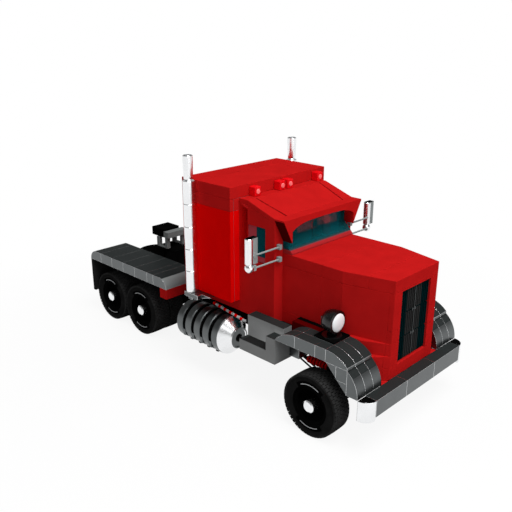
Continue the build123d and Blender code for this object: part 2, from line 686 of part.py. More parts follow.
def hitch_tower():
    """Two pairs of posts with a beam across the front pair."""
    rear_x, front_x = POSTS
    out = [block(front_x - 2.5, front_x + 3.5, -POST_Y - 2.0, POST_Y + 2.0, BEAM_Z0, BEAM_Z1)]
    for y in (-POST_Y, POST_Y):
        out.append(block(front_x - POST, front_x + POST, y - POST, y + POST, TOWER_UP, BEAM_Z0))
        out.append(block(rear_x - POST, rear_x + POST, y - POST, y + POST, TOWER_UP, CAP_Z0))
        out.append(block(rear_x - POST, front_x + POST, y - POST, y + POST, TOWER_UP, TOWER_UP + 1.2))
    return joined(out)


def tower_cap():
    rear_x = POSTS[0]
    cap = block(rear_x - 9.0, rear_x + 6.0, -POST_Y - 0.6, POST_Y + 0.6, CAP_Z0, CAP_Z1)
    return cap


save("fifth_wheel", fifth_wheel())
save("rear_deck", rear_deck())
save("hitch_tower", hitch_tower())
save("tower_cap", tower_cap())


# ---- frame, axles and front suspension --------------------------------------
CROSS = (0.01, 0.27, 0.39, 0.58, 0.75, 0.96)      # places of the cross members along the rails
CROSS_LEN = MOD
CAB_MOUNTS = (-72.0, -12.0)       # front edges of the posts that carry the cab


def frame_rails():
    rails = [block(RAIL_X0, RAIL_X1, s * RAIL_IN if s > 0 else -RAIL_OUT, RAIL_OUT if s > 0 else -RAIL_IN, RAIL_Z0, RAIL_Z1)
             for s in (-1, 1)]
    crosses = []
    for share in CROSS:
        x = RAIL_X0 + share * (RAIL_X1 - RAIL_X0)
        crosses.append(block(x, x + CROSS_LEN, -RAIL_IN, RAIL_IN, RAIL_Z0 + 2.0, RAIL_Z1 - 2.0))
    posts = []
    for x in CAB_MOUNTS:
        for s in (-1, 1):
            y0, y1 = sorted((s * RAIL_IN, s * RAIL_OUT))
            posts.append(block(x - MOD, x, y0, y1, RAIL_Z1, -CAB_DOWN))
    return joined(rails + crosses + posts)


def stub_z():
    return AXLE_Z - HOOD_TOP


def rear_axles():
    """Two beams with a round housing in the middle, on pads under the rails."""
    out = []
    z = stub_z()
    for i in (0, 1):
        x = REAR_AXLE_X - FIREWALL_X - i * REAR_AXLE_PITCH
        inner = REAR_WHEEL_Y - 2 * TYRE_W - TYRE_GAP - 1.0
        beam = rod_y(x, -inner, inner, z, 4.0)
        housing = rod_y(x, -6.0, 6.0, z, 7.0)
        pads = [block(x - 5.0, x + 5.0, s * 12.0 - 3.0, s * 12.0 + 3.0, z, RAIL_Z0) for s in (-1, 1)]
        pin = rod_y(x, -REAR_WHEEL_Y + RIM_DISH, REAR_WHEEL_Y - RIM_DISH, z, AXLE_R)
        out.append(joined([beam, housing, pin] + pads))
    return out


save("frame_rails", frame_rails())
save("rear_axles", *rear_axles())

KNUCKLE_TALL = 9.0
FORK = 3.0
FORK_GAP = 0.3


def front_axle():
    """Cross beam with a fork and kingpin at each end."""
    z = stub_z()
    x = FRONT_AXLE_X - FIREWALL_X
    h = KNUCKLE_TALL / 2 + FORK_GAP
    beam = block(x - 4.0, x + 4.0, -RAIL_OUT - 2.0, RAIL_OUT + 2.0, z - h - FORK, RAIL_Z0)
    parts = [beam]
    for s in (-1, 1):
        y0, y1 = sorted((s * (RAIL_OUT + 2.0), s * (KINGPIN_Y + 3.4)))
        parts.append(block(x - 4.0, x + 4.0, y0, y1, z + h, z + h + FORK))
        parts.append(block(x - 4.0, x + 4.0, y0, y1, z - h - FORK, z - h))
        parts.append(rod_z(x, s * KINGPIN_Y, z - h, z + h, KINGPIN_R))
    return joined(parts)


SHOCK_Y = 30.0
SHOCK_X = 12.0            # foot of the spring behind the axle
COILS = 6


def front_shock():
    """Red coil spring on its rod, between the fork and a bracket on the hood's flank."""
    x = FRONT_AXLE_X - FIREWALL_X
    z0 = stub_z() + KNUCKLE_TALL / 2 + FORK_GAP + FORK
    z1 = FENDER_TOP - MOD
    rod = rod_z(x, -SHOCK_Y, z0, z1, 1.6)
    pitch = (z1 - z0 - 3.0) / COILS
    coils = [rod_z(x, -SHOCK_Y, z0 + 1.0 + pitch * i, z0 + 1.0 + pitch * (i + 0.55), 3.2) for i in range(COILS)]
    bracket = block(x - SHOCK_X, x + 6.0, -SHOCK_Y - 4.0, -RAIL_OUT, z1 - 2.6, z1)
    leg = block(x - SHOCK_X, x - SHOCK_X + 6.0, -RAIL_OUT, -RAIL_OUT + 4.0, RAIL_Z1, z1)
    return joined([rod] + coils + [bracket, leg])


def knuckle():
    """Right steering knuckle: bored for the kingpin, with the stub axle and a steering arm."""
    z = stub_z()
    x = FRONT_AXLE_X - FIREWALL_X
    body = block(x - 4.0, x + 4.0, -KINGPIN_Y - 3.4, -KINGPIN_Y + 3.8, z - KNUCKLE_TALL / 2, z + KNUCKLE_TALL / 2)
    pin = rod_y(x, -FRONT_WHEEL_Y + RIM_DISH, -KINGPIN_Y - 3.4, z, AXLE_R)
    arm = block(x - 14.0, x - 4.0, -KINGPIN_Y - 0.6, -KINGPIN_Y + 3.8, z - 1.6, z + 1.6)
    bore = rod_z(x, -KINGPIN_Y, z - KNUCKLE_TALL / 2, z + KNUCKLE_TALL / 2, KINGPIN_R + AXLE_GAP)
    return joined([body, pin, arm]) - bore


save("front_axle", front_axle())
pair("front_shocks", front_shock())
both("knuckle", knuckle())


# ---- wheels -----------------------------------------------------------------
def wheel_profile(points, x, y):
    """Spins an outline of (radius, y) points about the axle line."""
    face = make_face(Polyline(*[(fx(x) + r, y + w, AXLE_Z) for r, w in points], close=True))
    return revolve(face, axis=Axis((fx(x), 0, AXLE_Z), (0, 1, 0)))


def rim(x, y_face, side, width):
    """Deep dished rim with a hub cap; y_face is the wheel's outer face."""
    s = -side                      # towards the centre plane
    web0, web1 = RIM_DISH, RIM_DISH + 3.0
    inner = width - 0.6
    bore = AXLE_R + AXLE_GAP
    outline = [(RIM_R, 0.6), (RIM_R, inner), (RIM_WELL_R, inner), (RIM_WELL_R, web1), (bore, web1),
               (bore, web0 - 1.0), (0, web0 - 1.0), (0, -HUB_PROUD), (HUB_R, -HUB_PROUD), (HUB_R, web0),
               (RIM_WELL_R, web0), (RIM_WELL_R, 0.6)]
    return wheel_profile([(r, s * w) for r, w in outline], x, y_face)


def tyre(x, y_face, side):
    """Square-shouldered tyre with tread blocks out to its full radius."""
    s = -side
    base = TYRE_R - LUG
    bore = RIM_R + CLEAR
    edge = 0.5
    outline = [(bore, edge), (bore + edge, 0), (base - edge, 0), (base, edge), (base, TYRE_W - edge),
               (base - edge, TYRE_W), (bore + edge, TYRE_W), (bore, TYRE_W - edge)]
    body = wheel_profile([(r, s * w) for r, w in outline], x, y_face)
    step = 360.0 / LUG_COUNT
    length = TYRE_W / 2 - 0.6
    lug = Box(LUG + 1.0, length, TYRE_R * 0.13, align=(Align.MAX, Align.CENTER, Align.CENTER))
    blocks = []
    for i in range(LUG_COUNT):
        for row, shift in ((0.3 + length / 2, 0.0), (TYRE_W - 0.3 - length / 2, 0.5)):
            turn = Rot(0, (i + shift) * step, 0)
            blocks.append(Pos(fx(x), y_face + s * row, AXLE_Z) * turn * Pos(TYRE_R, 0, 0) * lug)
    return body + blocks


WHEELS = (
    # name, x from the firewall, outer face, twin tyres
    ("front", FRONT_AXLE_X - FIREWALL_X, FRONT_WHEEL_Y, False),
    ("mid", REAR_AXLE_X - FIREWALL_X, REAR_WHEEL_Y, True),
    ("rear", REAR_AXLE_X - FIREWALL_X - REAR_AXLE_PITCH, REAR_WHEEL_Y, True),
)
for wheel_name, wheel_x, wheel_y, twin in WHEELS:
    count = 2 if twin else 1
    width = count * TYRE_W + (count - 1) * TYRE_GAP
    for side_name, side in (("right", -1), ("left", 1)):
        faces = [side * (wheel_y - i * (TYRE_W + TYRE_GAP)) for i in range(count)]
        save(f"rim_{wheel_name}_{side_name}", rim(wheel_x, side * wheel_y, side, width))
        save(f"tyre_{wheel_name}_{side_name}", *[tyre(wheel_x, face, side) for face in faces])
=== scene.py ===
import json
from math import cos, hypot, pi, radians, sin

import bmesh
import bpy
from mathutils import Matrix, Vector


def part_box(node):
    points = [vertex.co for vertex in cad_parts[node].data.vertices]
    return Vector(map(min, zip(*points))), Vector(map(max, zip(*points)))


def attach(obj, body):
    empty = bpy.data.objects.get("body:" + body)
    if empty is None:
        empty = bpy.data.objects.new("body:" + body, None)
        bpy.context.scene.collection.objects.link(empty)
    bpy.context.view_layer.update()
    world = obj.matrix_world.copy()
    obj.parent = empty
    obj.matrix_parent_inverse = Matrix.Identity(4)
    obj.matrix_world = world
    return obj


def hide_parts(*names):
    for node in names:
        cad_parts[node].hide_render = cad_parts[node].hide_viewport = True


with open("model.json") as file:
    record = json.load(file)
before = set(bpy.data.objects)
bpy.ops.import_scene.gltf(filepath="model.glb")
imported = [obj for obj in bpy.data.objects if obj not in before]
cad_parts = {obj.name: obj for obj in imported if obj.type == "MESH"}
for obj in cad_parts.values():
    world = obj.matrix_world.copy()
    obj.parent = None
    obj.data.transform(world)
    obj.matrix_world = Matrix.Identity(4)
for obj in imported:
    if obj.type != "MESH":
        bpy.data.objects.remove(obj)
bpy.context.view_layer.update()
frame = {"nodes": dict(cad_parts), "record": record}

bl_info = {
    "name": "Toy Tractor Truck",
    "version": (1, 0, 0),
    "blender": (4, 5, 0),
    "location": "3D View > Sidebar > Truck",
    "description": "Dresses the packed toy tractor truck with its moulded bricks, wheels and finishes",
    "category": "Object",
}

NODES = frame["nodes"]
MM = 0.001
MERGE = 1e-6  # points nearer than this are one, in metres

# Places are given in millimetres from the firewall (X), the centre plane (Y) and the flat
# top of the hood (Z), as the pieces were laid out. Y is negative on the truck's right side;
# pieces are built there and mirrored.
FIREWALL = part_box("cab_front")[1].x / MM
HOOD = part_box("hood_top")[1].z / MM
HUB_Z = (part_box("rim_front_right")[0].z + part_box("rim_front_right")[1].z) / 2 / MM - HOOD


def at(x, y, z):
    """A place in the frame, in metres, from one in millimetres."""
    return Vector((x + FIREWALL, y, z + HOOD)) * MM


# ---- settings ----
class TruckSizes(bpy.types.PropertyGroup):
    """Sizes that a user would change"""
    edge: bpy.props.FloatProperty(
        name="Brick edge", description="Rounding along the edges of each brick, in millimetres",
        default=0.28, min=0.05, max=0.6)
    tread_rows: bpy.props.IntProperty(
        name="Tread blocks", description="Tread blocks round one row of a tyre",
        default=48, min=12, max=80)
    rib: bpy.props.FloatProperty(
        name="Grille rib", description="Width of a grille rib, in millimetres",
        default=0.9, min=0.4, max=2.0)
    camera_lens: bpy.props.FloatProperty(
        name="Camera lens", description="Focal length of the camera, in millimetres",
        default=45.572, min=20.0, max=120.0)


def colour_setting(name, description, default):
    return bpy.props.FloatVectorProperty(
        name=name, description=description, subtype="COLOR", size=3, default=default, min=0, max=1)


class TruckColours(bpy.types.PropertyGroup):
    """Colours that a user would change"""
    body: colour_setting("Body", "Red of the cab and hood", (0.50, 0.010, 0.010))
    silver: colour_setting("Silver", "Tint of the plated plastic", (0.122, 0.13, 0.132))
    bright: colour_setting("Bright plating", "Tint of the brightest plating", (0.86, 0.87, 0.88))
    dark: colour_setting("Dark", "Black plastic", (0.0025, 0.0025, 0.0025))
    glass: colour_setting("Windscreen", "Tint of the windscreen's clear plastic", (0.03, 0.40, 0.46))
    smoked: colour_setting("Smoked glass", "Tint of the milky side windows", (0.003, 0.110, 0.135))
    # painted shade: the cab's inside faces, seats and dashboard take this dark teal, standing in for the
    # shade inside the cab
    inside: colour_setting("Cab inside", "Dark teal of the seats and dashboard", (0.001, 0.10, 0.12))


def sizes():
    return bpy.context.scene.truck_sizes


def colours():
    return bpy.context.scene.truck_colours


# ---- finishes ----
PLASTIC_IOR = 1.02  # clear plastic shows what is behind it with hardly any bend
STEP_SOFTNESS = 0.2  # half the blend between two zones of a screen, in millimetres
SCREEN_SILL = 2.8  # top of the windscreen's red foot (Z)
SCREEN_REFLECTIONS = 10.0  # where the windscreen's painted reflections begin (Z)
WINDOW_SILL = -4.1  # foot of a side window's field (Z)
WINDOW_REAR = -16.4  # rear edge of a side window's field (X)
REFLECTION_SCALE = 110.0
UNREFLECTED_SHARE = 0.42  # share of the patches that keep the field's colour, free of painted reflection
# painted reflection: the lighter pinkish grey of the patches
REFLECTION_GREY = (0.62, 0.40, 0.44)


def new_finish(name):
    """Node material with its tree and shader; both are None when it was made before."""
    mat = bpy.data.materials.get("truck_" + name)
    if mat:
        return mat, None, None
    mat = bpy.data.materials.new("truck_" + name)
    mat.use_nodes = True
    tree = mat.node_tree
    return mat, tree, tree.nodes["Principled BSDF"]


def put(node, **values):
    """Sets a node's sockets; an underscore in a name stands for a space."""
    for key, value in values.items():
        node.inputs[key.replace("_", " ")].default_value = value
    return node


def link(tree, a, out, b, into):
    tree.links.new(a.outputs[out], b.inputs[into])


def noise(tree, scale, detail=3.0):
    place = tree.nodes.get("Place") or tree.nodes.new("ShaderNodeTexCoord")
    place.name = "Place"
    tex = put(tree.nodes.new("ShaderNodeTexNoise"), Scale=scale, Detail=detail)
    link(tree, place, "Object", tex, "Vector")
    return tex


def tone(tree, source, low, high, start=0.3, stop=0.7):
    """Colour ramp from low to high over a noise value."""
    ramp = tree.nodes.new("ShaderNodeValToRGB")
    ramp.color_ramp.elements[0].position = start
    ramp.color_ramp.elements[1].position = stop
    ramp.color_ramp.elements[0].color = (*low, 1)
    ramp.color_ramp.elements[1].color = (*high, 1)
    link(tree, source, "Fac", ramp, "Fac")
    return ramp


def grey_tone(tree, source, low, high):
    return tone(tree, source, (low,) * 3, (high,) * 3)


def bump(tree, shader, source, strength, depth):
    node = put(tree.nodes.new("ShaderNodeBump"), Strength=strength, Distance=depth)
    link(tree, source, "Fac", node, "Height")
    link(tree, node, "Normal", shader, "Normal")


def shade(colour, by):
    return tuple(max(0.0, min(1.0, c * by)) for c in colour)


def clouded(tree, shader, source, colour, spread):
    """Colours the shader with a noise that goes a little below and above one colour."""
    ramp = tone(tree, source, shade(colour, 1 - spread), shade(colour, 1 + spread))
    link(tree, ramp, "Color", shader, "Base Color")


def moulded(name, colour, rough=0.42, spread=0.06, coat=0.0, gloss=0.0):
    """Moulded plastic: slight flow marks in the colour and a faint surface ripple."""
    mat, tree, shader = new_finish(name)
    if tree:
        put(shader, Specular_IOR_Level=gloss, Coat_Weight=coat, Coat_Roughness=0.08)
        clouded(tree, shader, noise(tree, 90.0, 4.0), colour, spread)
        wear = noise(tree, 900.0, 2.0)
        link(tree, grey_tone(tree, wear, rough - 0.05, rough + 0.08), "Color", shader, "Roughness")
        bump(tree, shader, noise(tree, 500.0, 2.0), 0.05, 0.0002)
    return mat


def plated(name, colour, rough=0.30, spread=0.05, metal=1.0):
    """Plated plastic with faint clouding and fine rubbing marks; a duller one is less metallic."""
    mat, tree, shader = new_finish(name)
    if tree:
        put(shader, Metallic=metal, Specular_IOR_Level=0.1)
        clouded(tree, shader, noise(tree, 60.0, 3.0), colour, spread)
        rub = noise(tree, 1400.0, 2.0)
        link(tree, grey_tone(tree, rub, rough - 0.04, rough + 0.06), "Color", shader, "Roughness")
        bump(tree, shader, noise(tree, 260.0, 2.0), 0.04, 0.0002)
    return mat


def step_up(tree, source, axis, place):
    """Value that goes from 0 to 1 where a coordinate passes a place, in millimetres."""
    edge = at(place, place, place)["XYZ".index(axis)]
    soft = STEP_SOFTNESS * MM
    rise = put(tree.nodes.new("ShaderNodeMapRange"), From_Min=edge - soft, From_Max=edge + soft)
    link(tree, source, axis, rise, "Value")
    return rise


def mixed(tree, factor, low, high):
    """Mix node from low to high: a colour each, or for low a mix node and for high a ramp."""
    node = tree.nodes.new("ShaderNodeMix")
    node.data_type = "RGBA"
    link(tree, factor, 0, node, "Factor")
    for socket, colour in (("A", low), ("B", high)):
        if isinstance(colour, tuple):
            node.inputs[socket].default_value = (*colour, 1)
        else:
            link(tree, colour, 0 if socket == "B" else "Result", node, socket)
    return node


def reflection_patches(tree, place, colour):
    """Painted reflections: patches of the field's colour and of a lighter pinkish grey, as bent clear
    plastic breaks up a view and catches light.
    """
    facets = put(tree.nodes.new("ShaderNodeTexVoronoi"), Scale=REFLECTION_SCALE)
    link(tree, place, "Object", facets, "Vector")
    hue = tree.nodes.new("ShaderNodeSeparateColor")
    link(tree, facets, "Color", hue, "Color")
    patch = tree.nodes.new("ShaderNodeValToRGB")
    patch.color_ramp.interpolation = "CONSTANT"
    patch.color_ramp.elements[0].color = (*colour, 1)
    patch.color_ramp.elements[1].position = UNREFLECTED_SHARE
    patch.color_ramp.elements[1].color = (*REFLECTION_GREY, 1)
    link(tree, hue, "Red", patch, "Fac")
    return patch


def screen(name, colour, foot, sill, rear=None, reflections_from=None, through=0.88):
    """Clear plastic over red bricks: a milky red foot, a tinted field and, above, painted reflections in
    grey patches.
    """
    mat, tree, shader = new_finish(name)
    if tree:
        place = tree.nodes.new("ShaderNodeTexCoord")
        parts = tree.nodes.new("ShaderNodeSeparateXYZ")
        link(tree, place, "Object", parts, "Vector")
        field = step_up(tree, parts, "Z", sill)
        if rear is not None:
            both = tree.nodes.new("ShaderNodeMath")
            both.operation = "MINIMUM"
            link(tree, field, 0, both, 0)
            link(tree, step_up(tree, parts, "X", rear), 0, both, 1)
            field = both
        look = mixed(tree, field, foot, tuple(colour))
        if reflections_from is not None:
            patch = reflection_patches(tree, place, colour)
            look = mixed(tree, step_up(tree, parts, "Z", reflections_from), look, patch)
        link(tree, look, "Result", shader, "Base Color")
        milk = put(tree.nodes.new("ShaderNodeMapRange"), To_Min=0.45, To_Max=through)
        link(tree, field, 0, milk, "Value")
        link(tree, milk, "Result", shader, "Transmission Weight")
        put(shader, Roughness=0.06, Specular_IOR_Level=0.0, IOR=PLASTIC_IOR)
    return mat


def rubber(name, greys):
    """Tyre rubber: dust clouded over a darker ground, with a fine moulded grain."""
    mat, tree, shader = new_finish(name)
    if tree:
        dust = noise(tree, 160.0, 5.0)
        link(tree, grey_tone(tree, dust, *greys), "Color", shader, "Base Color")
        link(tree, grey_tone(tree, noise(tree, 700.0), 0.6, 0.8), "Color", shader, "Roughness")
        put(shader, Specular_IOR_Level=0.0)
        bump(tree, shader, noise(tree, 1500.0, 4.0), 0.25, 0.0003)
    return mat


MOULDED = {
    # finish: material, colour or its setting, roughness, spread, coat, gloss
    "red": ("red_plastic", "body"),
    "pure_red": ("bright_red_plastic", (0.80, 0.001, 0.001), 0.5, 0.03),
    # painted shade: a dark copy of the body red, for the ledges beside the hood, the roof's grooves and
    # the visor's undersides
    "dark_red": ("dark_red_plastic", (0.085, 0.001, 0.001), 0.5),
    "black": ("black_plastic", "dark", 0.5, 0.3),
    "lamp_black": ("lamp_black_plastic", "dark", 0.25, 0.3, 0.25, 0.3),
    # painted shade: the dark teal of the cab's inside
    "inside": ("inside_plastic", "inside", 0.5, 0.2),
    "teal": ("grille_plastic", (0.001, 0.013, 0.015), 0.5, 0.2),
    "rib": ("rib_plastic", (0.030, 0.030, 0.030), 0.4, 0.1),
    "charcoal": ("charcoal_plastic", (0.018, 0.018, 0.018), 0.5),
    "tower": ("tower_plastic", (0.19, 0.20, 0.20), 0.5),
    "grey": ("grey_plastic", (0.30, 0.33, 0.33)),
    "pale": ("pale_grey_plastic", (0.50, 0.51, 0.52)),
    "lens": ("white_lens", (0.92, 0.93, 0.95), 0.15, 0.02, 0.5),
    "red_glass": ("red_lens", (0.80, 0.004, 0.008), 0.2, 0.05, 0.1),
    # painted highlight: the pale pink of the light caught in each marker lamp's middle
    "highlight_pink_glass": ("pink_lens", (1.0, 0.22, 0.22), 0.2, 0.03, 0.1),
}
PLATED = {
    # finish: material, colour or its setting, roughness, spread, metal
    "silver": ("silver_plating", "silver", 0.33),
    # painted light: a brighter, unmetallic copy of the plating, so the step boxes' side and front faces
    # show an even light
    "step_lit_silver": ("step_plating", (0.26, 0.265, 0.265), 0.45, 0.05, 0.0),
    # painted shade: a dull, dark copy of the plating, laid on top faces so they read darker than the sides
    "top_shade_silver": ("shaded_plating", (0.020, 0.024, 0.024), 0.6, 0.05, 0.0),
    "bright": ("bright_plating", "bright", 0.22),
}
SCREENS = {
    # finish: material, the field's colour setting, foot, sill, rear edge, painted reflections, see-through
    "glass": ("screen_plastic", "glass", (0.62, 0.035, 0.04), SCREEN_SILL, None, SCREEN_REFLECTIONS),
    "smoked": ("smoked_plastic", "smoked", (0.65, 0.09, 0.12), WINDOW_SILL, WINDOW_REAR, None, 0.5),
}
# the tread's lighter greys are painted light, making up for the shade under the arches
RUBBERS = {"rubber": ("tyre_rubber", (0.010, 0.017)), "tread": ("tread_rubber", (0.022, 0.036))}


def finish(key):
    """The material of one finish, made when it is first asked for."""
    for make, table in ((moulded, MOULDED), (plated, PLATED), (screen, SCREENS), (rubber, RUBBERS)):
        if key in table:
            name, colour, *rest = table[key]
            return make(name, getattr(colours(), colour) if isinstance(colour, str) else colour, *rest)
    raise KeyError(key)


# ---- mesh tools ----
FLAT = radians(0.5)  # faces that turn by less than this are one flat face
SHARP = radians(35)  # an edge that turns by more than this is sharp


def verts_of(geom):
    return [g for g in geom if isinstance(g, bmesh.types.BMVert)]


def block(bm, x0, x1, y0, y1, z0, z1):
    """Adds a rectangular block between two corners and gives its points."""
    made = bmesh.ops.create_cube(bm, size=1.0)["verts"]
    middle = (at(x0, y0, z0) + at(x1, y1, z1)) / 2
    size = at(x1, y1, z1) - at(x0, y0, z0)
    place = Matrix.Translation(middle) @ Matrix.Diagonal((*size, 1))
    bmesh.ops.transform(bm, matrix=place, verts=made)
    return made


def rod(bm, a, b, r0, r1=None, sides=32):
    """Adds a round bar or cone from a to b."""
    a, b = at(*a), at(*b)
    r1 = r0 if r1 is None else r1
    made = bmesh.ops.create_cone(
        bm, cap_ends=True, segments=sides, radius1=r0 * MM, radius2=r1 * MM, depth=(b - a).length)["verts"]
    turn = Vector((0, 0, 1)).rotation_difference(b - a).to_matrix().to_4x4()
    bmesh.ops.transform(bm, matrix=Matrix.Translation((a + b) / 2) @ turn, verts=made)


def lathe(bm, outline, origin, axis, steps=48):
    """Spins an outline of (radius, run) points, in millimetres, about an axis through origin."""
    axis = Vector(axis).normalized()
    side = axis.orthogonal().normalized()
    verts = [bm.verts.new(at(*origin) + side * r * MM + axis * w * MM) for r, w in outline]
    edges = [bm.edges.new((a, b)) for a, b in zip(verts, verts[1:])]
    bmesh.ops.spin(
        bm, geom=verts + edges, cent=at(*origin), axis=axis, angle=2 * pi, steps=steps, use_merge=True)
    bmesh.ops.remove_doubles(bm, verts=bm.verts, dist=MERGE)


def slab(bm, corners, push):
    """Adds a slab: a face pushed out, in millimetres."""
    face = bm.faces.new([bm.verts.new(c) for c in corners])
    made = bmesh.ops.extrude_face_region(bm, geom=[face])["geom"]
    bmesh.ops.translate(bm, vec=[p * MM for p in push], verts=verts_of(made))


def plate_y(bm, outline, y0, y1):
    """Adds a slab: an outline of (x, z) points run across from y0 to y1."""
    slab(bm, [at(x, y0, z) for x, z in outline], (0, y1 - y0, 0))


def plate_z(bm, outline, z0, z1):
    """Adds a slab: an outline of (x, y) points run up from z0 to z1."""
    slab(bm, [at(x, y, z0) for x, y in outline], (0, 0, z1 - z0))


def arc(cx, cz, r, start, stop, steps=10):
    """Points of an arc about (cx, cz); angles in degrees."""
    angles = [radians(start + (stop - start) * i / steps) for i in range(steps + 1)]
    return [(cx + r * cos(a), cz + r * sin(a)) for a in angles]


def mirror_y(*meshes):
    """Adds to each mesh its mirror image on the other side of the centre plane."""
    for bm in meshes:
        copy = bmesh.ops.duplicate(bm, geom=bm.verts[:] + bm.edges[:] + bm.faces[:])["geom"]
        bmesh.ops.scale(bm, vec=(1, -1, 1), verts=verts_of(copy))


def body_of(node):
    bodies = frame["record"]["behaviour"]["bodies"]
    return next(b for b, members in bodies.items() if node in members)


def add_piece(name, bm, key, replaces=(), edge=None, body="chassis"):
    """Turns a mesh under work into a finished piece; silver pieces get painted highlights: bright plating
    on their rounded edges.
    """
    bmesh.ops.recalc_face_normals(bm, faces=bm.faces)
    mesh = bpy.data.meshes.new(name)
    bm.to_mesh(mesh)
    bm.free()
    mesh.shade_smooth()
    mesh.set_sharp_from_angle(angle=SHARP)
    obj = bpy.data.objects.new(name, mesh)
    bpy.context.scene.collection.objects.link(obj)
    mesh.materials.append(finish(key))
    edge = sizes().edge if edge is None else edge
    if edge:
        soft = obj.modifiers.new("Edges", "BEVEL")
        soft.width = edge * MM
        soft.segments = 2
        soft.limit_method = "ANGLE"
        soft.angle_limit = SHARP
        soft.harden_normals = True
        # painted highlight: a silver piece's rounded edges take the bright plating
        if key == "silver":
            mesh.materials.append(finish("bright"))
            soft.material = 1
    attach(obj, body)
    if replaces:
        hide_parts(*replaces)
    return obj


def paint(obj, key, chosen):
    """Gives another finish to the faces picked by their centre, in millimetres, and their normal."""
    mesh = obj.data
    mesh.materials.append(finish(key))
    origin = at(0, 0, 0)
    for face in mesh.polygons:
        if chosen((face.center - origin) / MM, face.normal):
            face.material_index = len(mesh.materials) - 1


def on_top(centre, normal):
    return normal.z > 0.6


def cap_cut(bm, axis, value):
    """Closes both sides of a cut that lies in one plane."""
    for side in (-1, 1):
        rim = []
        for e in bm.edges:
            if not e.is_boundary or any(abs(v.co[axis] - value) > MERGE for v in e.verts):
                continue
            if (e.link_faces[0].calc_center_median()[axis] - value) * side > 0:
                rim.append(e)
        if rim:
            bmesh.ops.triangle_fill(bm, use_beauty=True, edges=rim)


def part_up(bm, xs=(), ys=(), zs=()):
    """Parts a mesh into bricks at the given planes and closes the cuts."""
    origin = at(0, 0, 0)
    for axis, values in enumerate((xs, ys, zs)):
        for v in values:
            value = origin[axis] + v * MM
            normal = Vector([1.0 if i == axis else 0.0 for i in range(3)])
            cut = bmesh.ops.bisect_plane(
                bm, geom=bm.verts[:] + bm.edges[:] + bm.faces[:],
                plane_co=normal * value, plane_no=normal, dist=MERGE)["geom_cut"]
            edges = [g for g in cut if isinstance(g, bmesh.types.BMEdge)]
            if edges:
                bmesh.ops.split_edges(bm, edges=edges)
                cap_cut(bm, axis, value)


def bricks(node, key, xs=(), ys=(), zs=(), edge=None):
    """Copies a CAD node, parts it into bricks at the given planes and rounds their edges."""
    bm = bmesh.new()
    bm.from_mesh(NODES[node].data)
    bmesh.ops.remove_doubles(bm, verts=bm.verts, dist=2 * MERGE)
    bmesh.ops.dissolve_limit(bm, angle_limit=FLAT, verts=bm.verts, edges=bm.edges)
    part_up(bm, xs, ys, zs)
    bmesh.ops.dissolve_limit(bm, angle_limit=FLAT, verts=bm.verts, edges=bm.edges)
    return add_piece(node + "_bricks", bm, key, (node,), edge, body_of(node))


# ---- stage ----
CAMERA = (263.44, -325.14, 135.68)
CAMERA_YAW, CAMERA_PITCH = 134.455, 19.30  # degrees, the pitch downward
CAMERA_NEAR, CAMERA_FAR = 0.01, 60.0  # metres
FLOOR_HALF = 20.0  # metres
AIM = Vector((0.0, 0.0, 0.06))  # what the lamps point at, in metres
LAMPS = (
    # name, place, size, power
    ("key", (0.40, -0.12, 0.92), 0.5, 7.0),
    ("front", (0.85, -0.20, 0.35), 0.6, 1.6),
)
WHITE = (1, 1, 1, 1)


def camera(scene):
    data = bpy.data.cameras.new("camera")
    data.sensor_width = 36.0
    data.lens = sizes().camera_lens
    data.clip_start, data.clip_end = CAMERA_NEAR, CAMERA_FAR
    cam = bpy.data.objects.new("camera", data)
    scene.collection.objects.link(cam)
    cam.location = at(*CAMERA)
    yaw, pitch = radians(CAMERA_YAW), radians(CAMERA_PITCH)
    look = Vector((cos(yaw) * cos(pitch), sin(yaw) * cos(pitch), -sin(pitch)))
    cam.rotation_euler = look.to_track_quat("-Z", "Y").to_euler()
    scene.camera = cam


def floor(scene):
    bm = bmesh.new()
    bmesh.ops.create_grid(bm, x_segments=8, y_segments=8, size=FLOOR_HALF)
    mesh = bpy.data.meshes.new("floor")
    bm.to_mesh(mesh)
    bm.free()
    obj = bpy.data.objects.new("floor", mesh)
    scene.collection.objects.link(obj)
    mesh.materials.append(floor_finish())


def lamps(scene):
    for name, place, size, power in LAMPS:
        light = bpy.data.lights.new(name, "AREA")
        light.size = size
        light.energy = power
        lamp = bpy.data.objects.new(name, light)
        scene.collection.objects.link(lamp)
        lamp.location = place
        lamp.rotation_euler = (AIM - Vector(place)).to_track_quat("-Z", "Y").to_euler()


def seen_rays(tree):
    """Light Path node, and a value that is 1 for camera, mirror and see-through rays."""
    path = tree.nodes.new("ShaderNodeLightPath")
    seen = tree.nodes.new("ShaderNodeMath")
    seen.operation = "MAXIMUM"
    link(tree, path, "Is Camera Ray", seen, 0)
    link(tree, path, "Is Glossy Ray", seen, 1)
    through = tree.nodes.new("ShaderNodeMath")
    through.operation = "MAXIMUM"
    link(tree, seen, 0, through, 0)
    link(tree, path, "Is Transmission Ray", through, 1)
    return path, through


def mix_shaders(tree, factor, out, low, high):
    mix = tree.nodes.new("ShaderNodeMixShader")
    link(tree, factor, out, mix, 0)
    link(tree, low, 0, mix, 1)
    link(tree, high, 0, mix, 2)
    return mix


